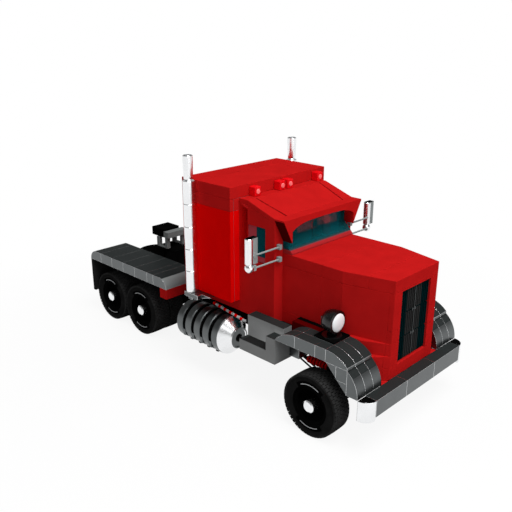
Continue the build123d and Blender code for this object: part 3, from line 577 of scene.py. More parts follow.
def floor_finish():
    """Pale floor that fades to white away from the truck and throws back little light."""
    mat, tree, shader = new_finish("pale_floor")
    if tree:
        pale = tone(tree, noise(tree, 3.0), (0.93, 0.93, 0.93), (0.97, 0.97, 0.97))
        link(tree, pale, "Color", shader, "Base Color")
        put(shader, Roughness=0.9, Specular_IOR_Level=0.0)
        white = put(tree.nodes.new("ShaderNodeEmission"), Strength=1.0)
        reach = tree.nodes.new("ShaderNodeVectorMath")
        reach.operation = "LENGTH"
        link(tree, tree.nodes["Place"], "Object", reach, 0)
        fade = put(tree.nodes.new("ShaderNodeMapRange"), From_Min=0.12, From_Max=0.32, To_Min=0.90)
        link(tree, reach, "Value", fade, "Value")
        shown = mix_shaders(tree, fade, "Result", shader, white)
        bounce = put(tree.nodes.new("ShaderNodeBsdfDiffuse"), Color=(0.40, 0.40, 0.40, 1))
        _, seen = seen_rays(tree)
        link(tree, mix_shaders(tree, seen, 0, bounce, shown), 0, tree.nodes["Material Output"], "Surface")
    return mat


def studio_world(scene):
    """White all round to the eye, softer as a light, and a dim ceiling in mirrors."""
    world = bpy.data.worlds.new("studio")
    scene.world = world
    world.use_nodes = True
    tree = world.node_tree
    soft = put(tree.nodes["Background"], Color=WHITE, Strength=0.30)
    white = put(tree.nodes.new("ShaderNodeBackground"), Color=WHITE, Strength=1.0)
    ceiling = put(tree.nodes.new("ShaderNodeBackground"), Color=WHITE)
    where = tree.nodes.new("ShaderNodeTexCoord")
    parts = tree.nodes.new("ShaderNodeSeparateXYZ")
    height = tree.nodes.new("ShaderNodeMapRange")
    put(height, From_Min=0.05, From_Max=0.32, To_Min=1.0, To_Max=0.22)
    link(tree, where, "Generated", parts, "Vector")
    link(tree, parts, "Z", height, "Value")
    link(tree, height, "Result", ceiling, "Strength")
    path, seen = seen_rays(tree)
    shown = mix_shaders(tree, path, "Is Glossy Ray", white, ceiling)
    link(tree, mix_shaders(tree, seen, 0, soft, shown), 0, tree.nodes["World Output"], "Surface")


class TRUCK_OT_stage(bpy.types.Operator):
    """Set up the camera, the soft studio light and the pale floor"""
    bl_idname = "truck.stage"
    bl_label = "Stage"

    def execute(self, context):
        camera(context.scene)
        floor(context.scene)
        lamps(context.scene)
        studio_world(context.scene)
        context.scene.view_settings.view_transform = "Standard"
        return {"FINISHED"}


# ---- front of the truck ----
SIDE = 32  # half width of the hood before it tapers
NOSE_SIDE = 24  # half width of the nose at its front
NOSE_X0, NOSE_X1 = 76.8, 80  # back and front of the nose frame
GRILLE_SIDE = 16  # half width of the opening in the nose
FLANKS = (
    # lower edge, upper edge, rear end, start of the taper, thickness
    (-40, -8, 0, 48, 3.2), (-48, -40, 0, 64, 6.4), (-64, -48, 56, 72, 6.4),
)


class TRUCK_OT_hood(bpy.types.Operator):
    """Build the hood, its flanks and the nose from bricks"""
    bl_idname = "truck.hood"
    bl_label = "Hood"

    def execute(self, context):
        bricks("hood_top", "red", xs=(32, 64))
        flanks, jambs = bmesh.new(), bmesh.new()
        for z0, z1, x0, taper, thick in FLANKS:
            end = SIDE - (SIDE - NOSE_SIDE) * (NOSE_X0 - taper) / (NOSE_X1 - taper)
            outer = ((x0, -SIDE), (taper, -SIDE), (NOSE_X0, -end))
            inner = ((NOSE_X0, thick - end), (taper, thick - SIDE), (x0, thick - SIDE))
            plate_z(flanks, outer + inner, z0, z1)
            post = ((NOSE_X0, -end), (NOSE_X1, -NOSE_SIDE))
            plate_z(jambs, post + ((NOSE_X1, -GRILLE_SIDE), (NOSE_X0, -GRILLE_SIDE)), z0, z1)
        part_up(flanks, xs=(32, 48))
        part_up(jambs, zs=(-56, -32))
        block(flanks, 72, 79.9, -31.5, -24.5, -65.5, -64.1)
        mirror_y(flanks, jambs)
        for z0, z1 in ((-64, -56), (-8.8, -8)):
            block(jambs, NOSE_X0, NOSE_X1, -GRILLE_SIDE, GRILLE_SIDE, z0, z1)
        add_piece("hood_flanks", flanks, "red", ("hood_sides",))
        add_piece("nose_frame", jambs, "red", ("grille_surround",))
        ledge, strip = bmesh.new(), bmesh.new()
        block(ledge, 16, 40, -40, -SIDE, -48, -40)
        block(strip, 16.1, 40, -35.4, -32.1, -40.2, -39.9)
        mirror_y(ledge, strip)
        # painted shade: the ledges between the fenders and the hood take the dark red of the shade there
        add_piece("hood_ledges", ledge, "dark_red")
        add_piece("ledge_strips", strip, "black", edge=0.05)
        return {"FINISHED"}


GRILLE_ROWS = (-55.9, -40.2, -24.5, -8.9)  # heights where one section of ribs meets the next
GRILLE_FACE = 76.8
GRILLE_HALF = 15.9
RIB_COUNT, RIB_PITCH, RIB_DEEP = 16, 2.06, 1.9
RIB_FRAME = 0.5  # height of a section's top and bottom bars
RIB_FRAME_DEEP = 1.2
MIDDLE_HALF = 9.0  # half width of the dark grey ribs in the middle


class TRUCK_OT_grille(bpy.types.Operator):
    """Build the grille: three stacked sections of ribs with a bright centre strip"""
    bl_idname = "truck.grille"
    bl_label = "Grille"

    def execute(self, context):
        back, side_ribs, middle_ribs, strip = (bmesh.new() for _ in range(4))
        block(back, 74.4, GRILLE_FACE, -18, 18, -58, -8.4)
        add_piece("grille_back", back, "black", ("grille",))
        rib = sizes().rib
        front = GRILLE_FACE + RIB_FRAME_DEEP
        for z0, z1 in zip(GRILLE_ROWS, GRILLE_ROWS[1:]):
            low, high = z0 + RIB_FRAME, z1 - RIB_FRAME
            for i in range(RIB_COUNT):
                y = -GRILLE_HALF + i * RIB_PITCH
                ribs = middle_ribs if abs(y + rib / 2) < MIDDLE_HALF else side_ribs
                block(ribs, GRILLE_FACE, GRILLE_FACE + RIB_DEEP, y, y + rib, low, high)
            block(side_ribs, GRILLE_FACE, front, -GRILLE_HALF, GRILLE_HALF, z0, low)
            block(side_ribs, GRILLE_FACE, front, -GRILLE_HALF, GRILLE_HALF, high, z1)
        add_piece("grille_side_ribs", side_ribs, "teal", edge=0.15)
        add_piece("grille_middle_ribs", middle_ribs, "rib", edge=0.15)
        block(strip, 78.6, 79.2, -0.12, 0.12, -55.0, -9.5)
        for z in GRILLE_ROWS[1:3]:
            for y in (-1.5, 1.5):
                rod(strip, (78.9, y, z - 0.9), (78.9, y, z + 0.9), 0.22, sides=12)
            block(strip, 78.5, 79.1, -1.2, 1.2, z - 0.12, z + 0.12)
        add_piece("grille_strip", strip, "silver", edge=0)
        return {"FINISHED"}


MOD = 8  # one module of the bricks
BUMPER_X = 80  # back face of the bumper
BUMPER_HALF = 48  # half length of its straight bar
FENDER_UP, FENDER_UNDER = -40, -48
FENDER_REAR = [(16, -48)] + arc(32, -60.64, 20.64, 140.82, 90) + [(32, -48)]
FENDER_FRONT = [(56, -48)] + arc(56, -63.2, 23.2, 90, 46.4) + [(72, -48)]
FENDER_TIP = [(72, -64), (72, -48)] + arc(60, -64, 20, 53.13, 0)
FENDER_INNER = (
    # corners behind the arcs, from the top down to the tip
    ((56.4, -48), (64, -48), (64, -55.6)),
    ((64, -48), (72, -48), (72, -56.7), (64.7, -56.7), (64, -56)),
    ((64.9, -56.7), (72, -56.7), (72, -63.8)),
)


class TRUCK_OT_bumper(bpy.types.Operator):
    """Build the bumper and the front fenders from bricks"""
    bl_idname = "truck.bumper"
    bl_label = "Bumper and fenders"

    def execute(self, context):
        self.bumper()
        self.fenders()
        return {"FINISHED"}

    def bumper(self):
        bar, ends = bmesh.new(), bmesh.new()
        block(bar, BUMPER_X, BUMPER_X + MOD, -BUMPER_HALF, BUMPER_HALF, -75, -64)
        part_up(bar, ys=(-16, 16))
        for y0, y1 in ((-16, -8), (8, 16)):
            block(bar, 76, BUMPER_X, y0, y1, -73, -64.1)
        quarter = arc(BUMPER_X, -BUMPER_HALF, MOD, 0, -90, 14)
        plate_z(ends, [(BUMPER_X, -BUMPER_HALF)] + quarter, -77.4, -64)
        mirror_y(ends)
        bar = add_piece("bumper_bar", bar, "silver", ("bumper",), edge=0.1)
        # painted shade on the bar's top faces
        paint(bar, "top_shade_silver", on_top)
        ends = add_piece("bumper_ends", ends, "bright", edge=0.5)
        # painted shade: the bright ends' top faces are black
        paint(ends, "black", on_top)

    def fenders(self):
        bm = bmesh.new()
        for y in (-56, -48, -40):
            inmost = y == -40           # the brick beside the hood, which carries the lamp's pod
            if not inmost:
                plate_y(bm, FENDER_REAR, y, y + MOD)
            block(bm, 40.1 if inmost else 32, 48, y, y + MOD, FENDER_UNDER, FENDER_UP)
            block(bm, 48, 56, y, y + MOD, FENDER_UNDER, FENDER_UP)
            plate_y(bm, FENDER_FRONT, y, y + MOD)
            for corner in FENDER_INNER:
                plate_y(bm, corner, y, y + MOD)
            plate_y(bm, FENDER_TIP, y, y + MOD)
        block(bm, 16, 24, -42, -SIDE, -64, FENDER_UNDER)
        mirror_y(bm)
        fender = add_piece("fender_bricks", bm, "silver", ("front_fenders",), edge=0.08)
        # painted shade on the fenders' top faces
        paint(fender, "top_shade_silver", on_top)


LAMP = (52, -40, -29.6)  # middle of the right headlamp's rim
POD_HALF = 7.8  # half side of the plate that carries a lamp
POD_X = 48  # middle of the plate and of its post
POD_FOOT, POD_TOP = -40, -38.9
SHELL_OUTLINE = (
    (0, -9.4), (3.6, -9.4), (5.6, -8.4), (6.9, -6.0), (7.4, -3.0),
    (7.4, 0), (7.0, 0.3), (5.9, 0.3), (5.9, -1.0), (0, -1.0),
)
LENS_OUTLINE = ((0, -0.9), (5.8, -0.9), (5.8, 0.6), (5.2, 1.1), (3.8, 1.55), (0, 1.75))
DISC_OUTLINE = ((2.6, -39.0), (6.2, -39.0), (6.2, -38.6), (4.0, -38.85), (2.6, -38.85), (2.6, -39.0))


class TRUCK_OT_lamps(bpy.types.Operator):
    """Build the headlamps and their pods"""
    bl_idname = "truck.lamps"
    bl_label = "Lamps"

    def execute(self, context):
        x, y, z = LAMP
        pod, shell, lens, disc = (bmesh.new() for _ in range(4))
        block(pod, POD_X - POD_HALF, POD_X + POD_HALF, y - POD_HALF, y + POD_HALF, POD_FOOT, POD_TOP)
        rod(pod, (POD_X, y, POD_TOP), (POD_X, y, -36.5), 3.2, 2.6)
        rod(pod, (POD_X, y, -37), (POD_X, y, z), 2.4)
        lathe(shell, SHELL_OUTLINE, LAMP, (1, 0, 0), 64)
        for y0, y1 in ((y - 4.6, y - 2.4), (y + 2.4, y + 4.6)):
            block(shell, x - 9.2, x - 5.5, y0, y1, z - 3, z + 3)
        lathe(lens, LENS_OUTLINE, LAMP, (1, 0, 0))
        lathe(disc, DISC_OUTLINE, (POD_X, y, 0), (0, 0, 1), 40)
        mirror_y(pod, shell, lens, disc)
        add_piece("headlamp_pods", pod, "black", ("headlamp_housings",), edge=0.2)
        add_piece("headlamp_shells", shell, "lamp_black", edge=0)
        add_piece("headlamp_glasses", lens, "lens", ("headlamp_lenses",), edge=0)
        add_piece("pod_discs", disc, "silver", edge=0)
        return {"FINISHED"}


# ---- cab and sleeper ----
GROOVE = (
    # corners of the groove beside the roof's raised middle, rear pair first
    (-23.5, 32.0, 31.83), (-23.5, 32.5, 31.83), (2.6, 29.3, 23.13), (2.6, 28.3, 23.13),
)
GROOVE_RISE = (-0.15, 0.08)  # how far it reaches below and above the roof's face
CAB_INSIDE = 36.9  # a wall face nearer the centre plane than this is an inside face
SLEEPER_INSIDE = 44.9
BAND_Z = 24  # where the sleeper's lower bricks meet its upper ones


class TRUCK_OT_cab(bpy.types.Operator):
    """Build the cab, its roof and the sun visor from bricks"""
    bl_idname = "truck.cab"
    bl_label = "Cab"

    def execute(self, context):
        sides = bricks("cab_sides", "red", xs=(-24, -8), zs=(-40, -8, 24))
        front = bricks("cab_front", "red", ys=(-32, 32), zs=(-8,))
        roof = bricks("cab_roof", "red", ys=(-32, 32))
        # painted shade: the walls' inside faces take the dark teal of the cab's shade
        paint(sides, "inside", lambda c, n: abs(c.y) < CAB_INSIDE)
        paint(front, "inside", lambda c, n: n.x < -0.9)
        paint(roof, "inside", lambda c, n: n.z < -0.9)
        # painted shade: a thin dark inlay laid on the roof where a gap between its parts shows shade
        bm = bmesh.new()
        for side in (-1, 1):
            corners = [bm.verts.new(at(x, side * y, z + up)) for up in GROOVE_RISE for x, y, z in GROOVE]
            bmesh.ops.convex_hull(bm, input=corners)
        add_piece("roof_grooves", bm, "dark_red", edge=0)
        visor = bricks("sun_visor", "red", ys=(-32, 32))
        # painted shade on the visor's downward faces
        paint(visor, "dark_red", lambda c, n: n.z < -0.2 and abs(c.y) > 32.1)
        # painted shade: the floor, seats and dashboard are dark teal
        bricks("cab_floor", "inside")
        bricks("seats", "inside")
        bricks("dashboard", "inside")
        return {"FINISHED"}


class TRUCK_OT_glass(bpy.types.Operator):
    """Build the windscreen and the smoked side windows"""
    bl_idname = "truck.glass"
    bl_label = "Glass"

    def execute(self, context):
        bricks("windscreen", "glass", edge=0.1)
        bricks("side_windows", "smoked", edge=0.15)
        return {"FINISHED"}


MARKER_YS = (-28, -4, 4, 36)  # the four lamps over the cab, right to left
MARKER_HALF = 2.9
CORE_OUTLINE = ((0, -0.8), (1.7, -0.8), (1.7, 0.2), (1.4, 0.5), (0, 0.6))
CORE_PROUD = 0.6


class TRUCK_OT_sleeper(bpy.types.Operator):
    """Build the sleeper and its marker lamps from bricks"""
    bl_idname = "truck.sleeper"
    bl_label = "Sleeper"

    def execute(self, context):
        for node, xs in (("sleeper_sides", (-64,)), ("sleeper_posts", ())):
            wall = bricks(node, "red", xs=xs, zs=(BAND_Z,))
            paint(wall, "pure_red", lambda c, n: c.z < BAND_Z)
            # painted shade on the sleeper walls' inside faces
            paint(wall, "inside", lambda c, n: abs(c.y) < SLEEPER_INSIDE and -79 < c.x < -32.1)
        bricks("sleeper_lintel", "red")
        back = bricks("sleeper_back", "red", ys=(-16, 16), zs=(-8, BAND_Z))
        # painted shade on the sleeper back's inside face
        paint(back, "inside", lambda c, n: n.x > 0.9)
        bricks("sleeper_roof", "red", ys=(-32, 0, 32), xs=(-64,))
        bricks("skirts", "red")
        self.markers()
        return {"FINISHED"}

    def markers(self):
        bodies, cores = bmesh.new(), bmesh.new()
        low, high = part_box("marker_lamps")
        z0, z1 = low.z / MM - HOOD, high.z / MM - HOOD
        x0, x1 = low.x / MM - FIREWALL, high.x / MM - FIREWALL - CORE_PROUD
        for y in MARKER_YS:
            block(bodies, x0, x1, y - MARKER_HALF, y + MARKER_HALF, z0, z1)
            lathe(cores, CORE_OUTLINE, (x1, y, (z0 + z1) / 2), (1, 0, 0), 24)
        add_piece("marker_bodies", bodies, "red_glass", ("marker_lamps",), edge=0.6)
        # painted highlight: a pale pink core in the middle of each marker lamp
        add_piece("marker_cores", cores, "highlight_pink_glass", edge=0)


# ---- stacks and mirrors ----
STACK = (-68, -52.1, 0)  # axis of the right exhaust
STACK_LENGTHS = 5  # lengths of pipe below the tip
STACK_LONG = 16
STACK_FOOT = -40  # lower end of the first length
STACK_TIP = (
    (0, 39.9), (2.4, 40.0), (3.1, 41.2), (3.25, 43), (3.25, 48), (3.4, 48.1), (3.4, 52),
    (3.5, 52.1), (3.5, 56.6), (3.1, 57), (2.6, 57), (2.6, 55), (0, 55),
)
MIRROR_YS = (-62.4, 59.6)  # a mirror's round edge; both are carried the same way round
MIRROR_HIGH = 16.6
EDGE_OUTLINE = ((0, 0), (2.2, 0), (2.6, 0.4), (2.6, 16.2), (2.2, MIRROR_HIGH), (0, MIRROR_HIGH))
BALL_R, BALL_Z = 3.08, -2.6
BALL_OUTLINE = [(BALL_R * sin(pi * i / 12), BALL_Z - BALL_R * cos(pi * i / 12)) for i in range(13)]
ARM_X, ARM_ZS = 1.8, (5.5, -2.7)


class TRUCK_OT_stacks(bpy.types.Operator):
    """Build the exhaust stacks and the mirrors"""
    bl_idname = "truck.stacks"
    bl_label = "Stacks and mirrors"

    def execute(self, context):
        self.stacks()
        self.mirrors()
        return {"FINISHED"}

    def stacks(self):
        pipes, feet = bmesh.new(), bmesh.new()
        for i in range(STACK_LENGTHS):
            z = STACK_FOOT + STACK_LONG * i
            top = z + STACK_LONG
            length = ((0, z), (3.7, z), (4.0, z + 0.35), (4.0, top - 0.35), (3.7, top), (0, top))
            lathe(pipes, length, STACK, (0, 0, 1))
        lathe(pipes, STACK_TIP, STACK, (0, 0, 1))
        block(feet, -72, -58, -56, -44.8, -43.2, -40.1)
        block(feet, -70, -66, -54, -50, -46, -43.2)
        plate_y(feet, ((-58, -40.1), (-48, -40.1), (-58, -43.2)), -52, -45)
        mirror_y(pipes, feet)
        add_piece("stack_pipes", pipes, "bright", ("exhausts",), edge=0)
        add_piece("stack_feet", feet, "silver", edge=0.2)

    def mirrors(self):
        heads, backs, arms = bmesh.new(), bmesh.new(), bmesh.new()
        for y in MIRROR_YS:
            lathe(heads, EDGE_OUTLINE, (0, y - 0.4, 0), (0, 0, 1))
            lathe(heads, BALL_OUTLINE, (0, y, 0), (0, 0, 1), 32)
            back = ((-2.4, y), (1.9, y), (1.9, y + 5.0), (1.3, y + 5.9), (-2.4, y + 5.9))
            plate_z(backs, back, 0, MIRROR_HIGH)
        for z in ARM_ZS:
            rod(arms, (ARM_X, -61.4, z), (ARM_X, -36.4, z), 0.6, sides=16)
            block(arms, 0.1, 2.9, -38.2, -35.8, z - 1.6, z + 1.6)
            block(arms, 0.4, 2.4, -60.6, -58.6, z - 1.8, z + 1.8)
        mirror_y(arms)
        head = add_piece("mirror_heads", heads, "bright", ("mirrors",), edge=0)
        # painted shade: the head's top face is black
        paint(head, "black", lambda c, n: n.z > 0.9 and c.z > 10)
        back = add_piece("mirror_backs", backs, "grey", edge=0.1)
        # painted shade: the back's top face is black
        paint(back, "black", lambda c, n: n.z > 0.9)
        add_piece("mirror_arms", arms, "grey", edge=0.15)


# ---- steps and tanks ----
TANK = (0, -43, -67)  # axis of the right tank, at the firewall
TANK_X0 = -81
BANDS, BAND_PITCH, BAND_WIDE = 5, 9.3, 6.2
BAND_R, BAND_EDGE_R = 14.2, 13.6
CONE_OUTLINE = (
    (0, -37.6), (14.1, -37.6), (14.1, -37.0), (7.7, -30.8), (7.6, -29.4),
    (6.6, -29.4), (6.2, -30.0), (3.0, -30.0), (3.0, -32), (0, -32),
)
HOLE_R = 3
HOSE_START, HOSE_END = (-56.5, -42, -48.9), (-24.0, -42, -53.1)
COLLARS, COLLAR_PITCH, COLLAR_LONG = 12, 2.7, 2.3
COLLAR_FALL = 0.35  # drop of the hose from one collar to the next


class TRUCK_OT_steps(bpy.types.Operator):
    """Build the step boxes and the fuel tanks"""
    bl_idname = "truck.steps"
    bl_label = "Steps and tanks"

    def execute(self, context):
        steps = bricks("step_boxes", "silver", xs=(8,), edge=0.12)
        # painted light on the step boxes' side and front faces
        paint(steps, "step_lit_silver", lambda c, n: abs(n.y) > 0.9 or n.x > 0.9)
        # painted shade on the step boxes' top faces
        paint(steps, "top_shade_silver", on_top)
        # painted shade: a dark plate laid in each step's recess, in place of the shade there
        recess_shade = bmesh.new()
        block(recess_shade, -13.5, 7.4, -55.2, -48.2, -58.6, -57.9)
        mirror_y(recess_shade)
        add_piece("tread_mats", recess_shade, "charcoal", edge=0.15)
        self.tanks()
        self.hoses()
        return {"FINISHED"}

    def tanks(self):
        bands, core, cones = bmesh.new(), bmesh.new(), bmesh.new()
        y, z = TANK[1:]
        for i in range(BANDS):
            x = TANK_X0 + BAND_PITCH * i
            x1 = x + BAND_WIDE
            rear = ((0, x), (BAND_EDGE_R, x), (BAND_R, x + 0.6))
            lathe(bands, rear + ((BAND_R, x1 - 0.6), (BAND_EDGE_R, x1), (0, x1)), TANK, (1, 0, 0), 64)
        rod(core, (-80, y, z), (-38, y, z), 12.6, sides=48)
        for i in range(BANDS - 1):
            x = TANK_X0 + BAND_WIDE + BAND_PITCH * i
            block(core, x + 0.3, x + 2.8, -50, -41, -80.6, -77.0)
            block(bands, x + 0.4, x + 2.7, -56.3, -54.4, -75.0, -70.5)
        for x in (-73, -53):
            block(core, x, x + 6, -33, -16.1, -66, -62)
        lathe(cones, CONE_OUTLINE, TANK, (1, 0, 0), 64)
        mirror_y(bands, core, cones)
        add_piece("tank_bands", bands, "silver", ("fuel_tanks",), edge=0)
        add_piece("tank_cores", core, "black", edge=0.1)
        cones = add_piece("tank_cones", cones, "bright", ("tank_ends",), edge=0)
        paint(cones, "silver", lambda c, n: n.x > 0.9)
        # painted shade: the floor of the dimple in each tank end is black
        paint(cones, "black", lambda c, n: n.x > 0.9 and hypot(abs(c.y) + y, c.z - z) < HOLE_R)

    def hoses(self):
        """The hose above each tank, with red and pale collars by turns."""
        red, pale = bmesh.new(), bmesh.new()
        x0, y, z0 = HOSE_START
        for i in range(COLLARS):
            x, z = x0 + COLLAR_PITCH * i, z0 - COLLAR_FALL * i
            rod(pale if i % 2 else red, (x, y, z), (x + COLLAR_LONG, y, z - 0.3), 1.0, sides=16)
        rod(pale, HOSE_START, HOSE_END, 0.8, sides=12)
        mirror_y(red, pale)
        for bm, key in ((red, "pure_red"), (pale, "pale")):
            add_piece("hose_collars_" + key, bm, key, edge=0.1)


# ---- rear end and chassis ----
GUARD_Y0, GUARD_Y1 = -48, -16  # sides of the rear fender, on the right only
GUARD_UNDER, GUARD_UP = -51.2, -43.2
GUARD_JOINTS = (-192, -176, -160, -144, -128, -120)
GUARD_ROUND = MOD  # radius of its two round ends


class TRUCK_OT_rear(bpy.types.Operator):
    """Build the rear fender, its flap, the deck and the coupling plate"""
    bl_idname = "truck.rear"
    bl_label = "Rear end"

    def execute(self, context):
        bm = bmesh.new()
        x0, x1 = GUARD_JOINTS[0], GUARD_JOINTS[-1]
        back = arc(x0 - GUARD_ROUND, GUARD_UNDER, GUARD_ROUND, 180, 90)[1:]
        outline = [(x0, GUARD_UNDER), (x0 - 2 * GUARD_ROUND, GUARD_UNDER)] + back + [(x0, GUARD_UP)]
        plate_y(bm, outline, GUARD_Y0, GUARD_Y1)
        for a, b in zip(GUARD_JOINTS, GUARD_JOINTS[1:]):
            block(bm, a, b, GUARD_Y0, GUARD_Y1, GUARD_UNDER, GUARD_UP)
        front = arc(x1 + GUARD_ROUND, GUARD_UNDER, GUARD_ROUND, 90, 0)
        plate_y(bm, [(x1, GUARD_UNDER), (x1, GUARD_UP)] + front, GUARD_Y0, GUARD_Y1)
        block(bm, -198, -190, -16, -12, -59.2, -47.2)
        fender = add_piece("rear_fender_bricks", bm, "silver", ("rear_fender",), edge=0.08)
        # painted shade on the rear fender's top faces
        paint(fender, "top_shade_silver", on_top)
        paint(fender, "grey", lambda c, n: n.x > 0.3 and n.z > -0.1 and c.x > x1 + GUARD_ROUND)
        bricks("mudflap", "charcoal")
        bricks("fifth_wheel", "black")
        bricks("rear_deck", "black", xs=(-152, -136, -120, -104), ys=(-8, 8))
        bricks("hitch_tower", "tower")
        bricks("tower_cap", "black", xs=(-164,))
        return {"FINISHED"}


SPRING = (0, -34, -65.6)  # axis of the right front spring
COILS, COIL_X0, COIL_PITCH = 7, 26, 2.4
COIL_R0, COIL_R1, COIL_WIDE = 1.4, 2.6, 1.3


class TRUCK_OT_chassis(bpy.types.Operator):
    """Dress the frame, the axles, the knuckles and the springs"""
    bl_idname = "truck.chassis"
    bl_label = "Chassis"

    def execute(self, context):
        bricks("frame_rails", "black", xs=(-160, -96, -32, 16, 48))
        for node in ("rear_axles", "front_axle", "knuckle_right", "knuckle_left"):
            bricks(node, "black", edge=0.15)
        bricks("front_shocks", "red", edge=0.15)
        coil, links = bmesh.new(), bmesh.new()
        _, y, z = SPRING
        for i in range(COILS):
            x = COIL_X0 + COIL_PITCH * i
            x1 = x + COIL_WIDE
            ring = ((COIL_R0, x), (COIL_R1, x), (COIL_R1, x1), (COIL_R0, x1), (COIL_R0, x))
            lathe(coil, ring, SPRING, (1, 0, 0), 24)
        rod(links, (22, y, z), (44, y, z), 1.2, sides=16)
        block(links, 40, 46, -36, -18, -72, -66)
        for side in (y - 1.5, y + 1.5):
            rod(links, (20, side, -67), (32, side, -71.5), 0.6, sides=12)
        mirror_y(coil, links)
        add_piece("spring_coils", coil, "pure_red", edge=0.1)
        add_piece("spring_links", links, "black", edge=0.1)
        return {"FINISHED"}


# ---- wheels ----
# Outlines are (radius, depth in from the tyre's face), in millimetres.
TYRE_WIDE = 13.6  # one tyre across its side walls
TYRE_STEP = 14.4  # from the face of one rear tyre to the face of its twin
RIM_INSET = 0.6  # rim inside the tyre's face
HUB_PROUD = 1.0  # hub cap outside the tyre's face
HUB_OUTLINE = ((0, -HUB_PROUD), (3.2, -HUB_PROUD), (4.0, -0.4), (4.0, 7.0), (0, 7.0))
BOSSES, BOSS_CIRCLE = 6, 6.6
BOSS_OUTLINE = ((1.7, 6.2), (2.4, 6.2), (2.4, 7.5), (1.7, 7.5), (1.7, 6.2))
WALL_OUTLINE = (
    (12.3, 0.5), (12.8, 0.0), (13.2, 0.35), (18.2, 0.35), (18.6, 0.0),
    (19.0, 0.0), (19.3, 0.4), (19.3, 13.2), (19.0, TYRE_WIDE), (18.6, TYRE_WIDE),
    (18.2, 13.25), (13.2, 13.25), (12.8, TYRE_WIDE), (12.3, 13.1), (12.3, 0.5),
)
TREAD_ROWS = (
    # depth from, to, outer radius, turn in steps
    (0.15, 2.35, 20.4, 0.0), (2.45, 4.55, 20.55, 0.5), (4.65, 6.75, 20.6, 0.0),
    (6.85, 8.95, 20.6, 0.5), (9.05, 11.15, 20.55, 0.0), (11.25, 13.45, 20.4, 0.5),
)
LUG_HALF, LUG_FOOT = 1.12, 18.6
TREAD_R = 19.35  # beyond this a face belongs to the tread
BEAD_R = 13.3  # within this a face belongs to the black bead
PAD = ((12.6, 0.5), (12.9, 0.1), (16.0, 0.1), (16.4, 0.5))
# the pale lines are partly a painted highlight, the glint at the side wall's rim, and partly a plain mark
# where the tyre's lettering was left off
LINE = ((14.1, 0.12), (14.1, 0.05), (14.7, 0.05), (14.7, 0.12))
PAD_SPREAD, LINE_SPREAD = 80, 56
PAD_TURNS = (0.25, 0.75)  # where a pad sits, in turns from the front
ACROSS = (0, 1, 0)


def build_rim(axle, side, x, face, s, wide):
    """The dished rim of one wheel and its bright hub cap; s points in from the face."""
    bm = bmesh.new()
    end = wide - RIM_INSET
    outline = (
        (12.2, RIM_INSET), (12.2, end), (10.4, end), (10.4, 10), (2.45, 10), (2.45, 6), (4.2, 6),
        (4.2, 7), (8.6, 7), (10.4, 5.5), (10.6, 1.2), (11.2, RIM_INSET), (12.2, RIM_INSET),
    )
    lathe(bm, [(r, s * w) for r, w in outline], (x, face, HUB_Z), ACROSS)
    for i in range(BOSSES):
        a = 2 * pi * i / BOSSES
        place = (x + BOSS_CIRCLE * cos(a), face, HUB_Z + BOSS_CIRCLE * sin(a))
        lathe(bm, [(r, s * w) for r, w in BOSS_OUTLINE], place, ACROSS, 20)
    wheel, node = f"wheel_{axle}_{side}", f"rim_{axle}_{side}"
    add_piece(f"rim_dish_{axle}_{side}", bm, "black", (node,), edge=0.1, body=wheel)
    cap = bmesh.new()
    lathe(cap, [(r, s * w) for r, w in HUB_OUTLINE], (x, face, HUB_Z), ACROSS, 40)
    add_piece(f"hub_cap_{axle}_{side}", cap, "bright", edge=0, body=wheel)


def add_lugs(bm, x, face, s):
    """Six rows of tread blocks round one tyre."""
    count = sizes().tread_rows
    for w0, w1, r, shift in TREAD_ROWS:
        y0, y1 = sorted((s * w0, s * w1))
        for i in range(count):
            z0, z1 = HUB_Z + LUG_FOOT, HUB_Z + r
            lug = block(bm, x - LUG_HALF, x + LUG_HALF, face + y0, face + y1, z0, z1)
            turn = Matrix.Rotation(2 * pi * (i + shift) / count, 3, "Y")
            bmesh.ops.rotate(bm, verts=lug, cent=at(x, face, HUB_Z), matrix=turn)


def build_tyre(axle, side, x, faces, s):
    """One tyre, or a pair of twins, with its tread, side wall pads and pale lines; the tread's lighter
    rubber is painted light and the pale lines are partly a painted highlight.
    """
    wheel, node = f"wheel_{axle}_{side}", f"tyre_{axle}_{side}"
    bm, pads, lines = bmesh.new(), bmesh.new(), bmesh.new()
    for face in faces:
        lathe(bm, [(r, s * w) for r, w in WALL_OUTLINE], (x, face, HUB_Z), ACROSS, 72)
        add_lugs(bm, x, face, s)
    for turn in PAD_TURNS:
        add_arc(pads, x, faces[0], s, turn, PAD, PAD_SPREAD)
        add_arc(lines, x, faces[0], s, turn, LINE, LINE_SPREAD)
    tyre = add_piece(f"tyre_tread_{axle}_{side}", bm, "rubber", (node,), edge=0, body=wheel)
    # painted light: the tread's faces take the lighter rubber
    paint(tyre, "tread", lambda c, n: hypot(c.x - x, c.z - HUB_Z) > TREAD_R)
    paint(tyre, "black", lambda c, n: hypot(c.x - x, c.z - HUB_Z) < BEAD_R)
    add_piece(f"tyre_pads_{axle}_{side}", pads, "black", edge=0, body=wheel)
    # partly a painted highlight: pale arcs on the side wall
    add_piece(f"tyre_lines_{axle}_{side}", lines, "pale", edge=0, body=wheel)


def add_arc(bm, x, face, s, turn, section, spread):
    """Raised arc on the side wall: a closed section swept over some degrees."""
    verts = [bm.verts.new(at(x + r, face + s * w, HUB_Z)) for r, w in section]
    edges = [bm.edges.new((a, b)) for a, b in zip(verts, verts[1:] + verts[:1])]
    angle = radians(spread)
    centre = at(x, face, HUB_Z)
    start = Matrix.Rotation(2 * pi * turn - angle / 2, 3, "Y")
    bmesh.ops.rotate(bm, verts=verts, cent=centre, matrix=start)
    first = bmesh.ops.contextual_create(bm, geom=edges)["faces"]
    bmesh.ops.spin(bm, geom=first, cent=centre, axis=ACROSS, angle=angle, steps=20)


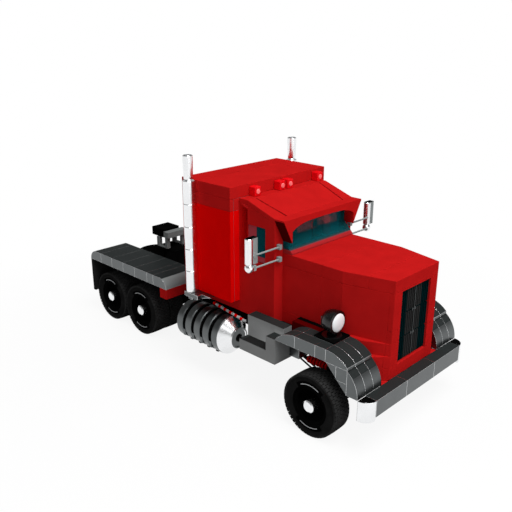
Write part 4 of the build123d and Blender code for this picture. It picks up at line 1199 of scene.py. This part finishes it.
class TRUCK_OT_wheels(bpy.types.Operator):
    """Build the six rims and their treaded tyres"""
    bl_idname = "truck.wheels"
    bl_label = "Wheels"

    def execute(self, context):
        for axle in ("front", "mid", "rear"):
            tyres = 1 if axle == "front" else 2
            for side in ("right", "left"):
                low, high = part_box(f"tyre_{axle}_{side}")
                x = (low.x + high.x) / 2 / MM - FIREWALL
                face = (low.y if side == "right" else high.y) / MM
                s = 1 if side == "right" else -1
                build_rim(axle, side, x, face, s, TYRE_STEP * (tyres - 1) + TYRE_WIDE)
                build_tyre(axle, side, x, [face + s * TYRE_STEP * i for i in range(tyres)], s)
        return {"FINISHED"}


# ---- panel and registration ----
STEPS = (
    TRUCK_OT_stage, TRUCK_OT_hood, TRUCK_OT_grille, TRUCK_OT_bumper, TRUCK_OT_lamps,
    TRUCK_OT_cab, TRUCK_OT_glass, TRUCK_OT_sleeper, TRUCK_OT_stacks, TRUCK_OT_steps,
    TRUCK_OT_rear, TRUCK_OT_chassis, TRUCK_OT_wheels,
)


class TRUCK_PT_panel(bpy.types.Panel):
    """Truck steps and settings"""
    bl_label = "Toy Tractor Truck"
    bl_idname = "TRUCK_PT_panel"
    bl_space_type = "VIEW_3D"
    bl_region_type = "UI"
    bl_category = "Truck"

    def draw(self, context):
        layout = self.layout
        for group in (context.scene.truck_sizes, context.scene.truck_colours):
            for key in group.__annotations__:
                layout.prop(group, key)
        for step in STEPS:
            layout.operator(step.bl_idname)


CLASSES = (TruckSizes, TruckColours, TRUCK_PT_panel) + STEPS


def register():
    for cls in CLASSES:
        bpy.utils.register_class(cls)
    bpy.types.Scene.truck_sizes = bpy.props.PointerProperty(type=TruckSizes)
    bpy.types.Scene.truck_colours = bpy.props.PointerProperty(type=TruckColours)


def unregister():
    del bpy.types.Scene.truck_colours
    del bpy.types.Scene.truck_sizes
    for cls in reversed(CLASSES):
        bpy.utils.unregister_class(cls)


def main():
    register()
    for step in STEPS:
        group, name = step.bl_idname.split(".")
        getattr(getattr(bpy.ops, group), name)()


if __name__ == "__main__":
    main()
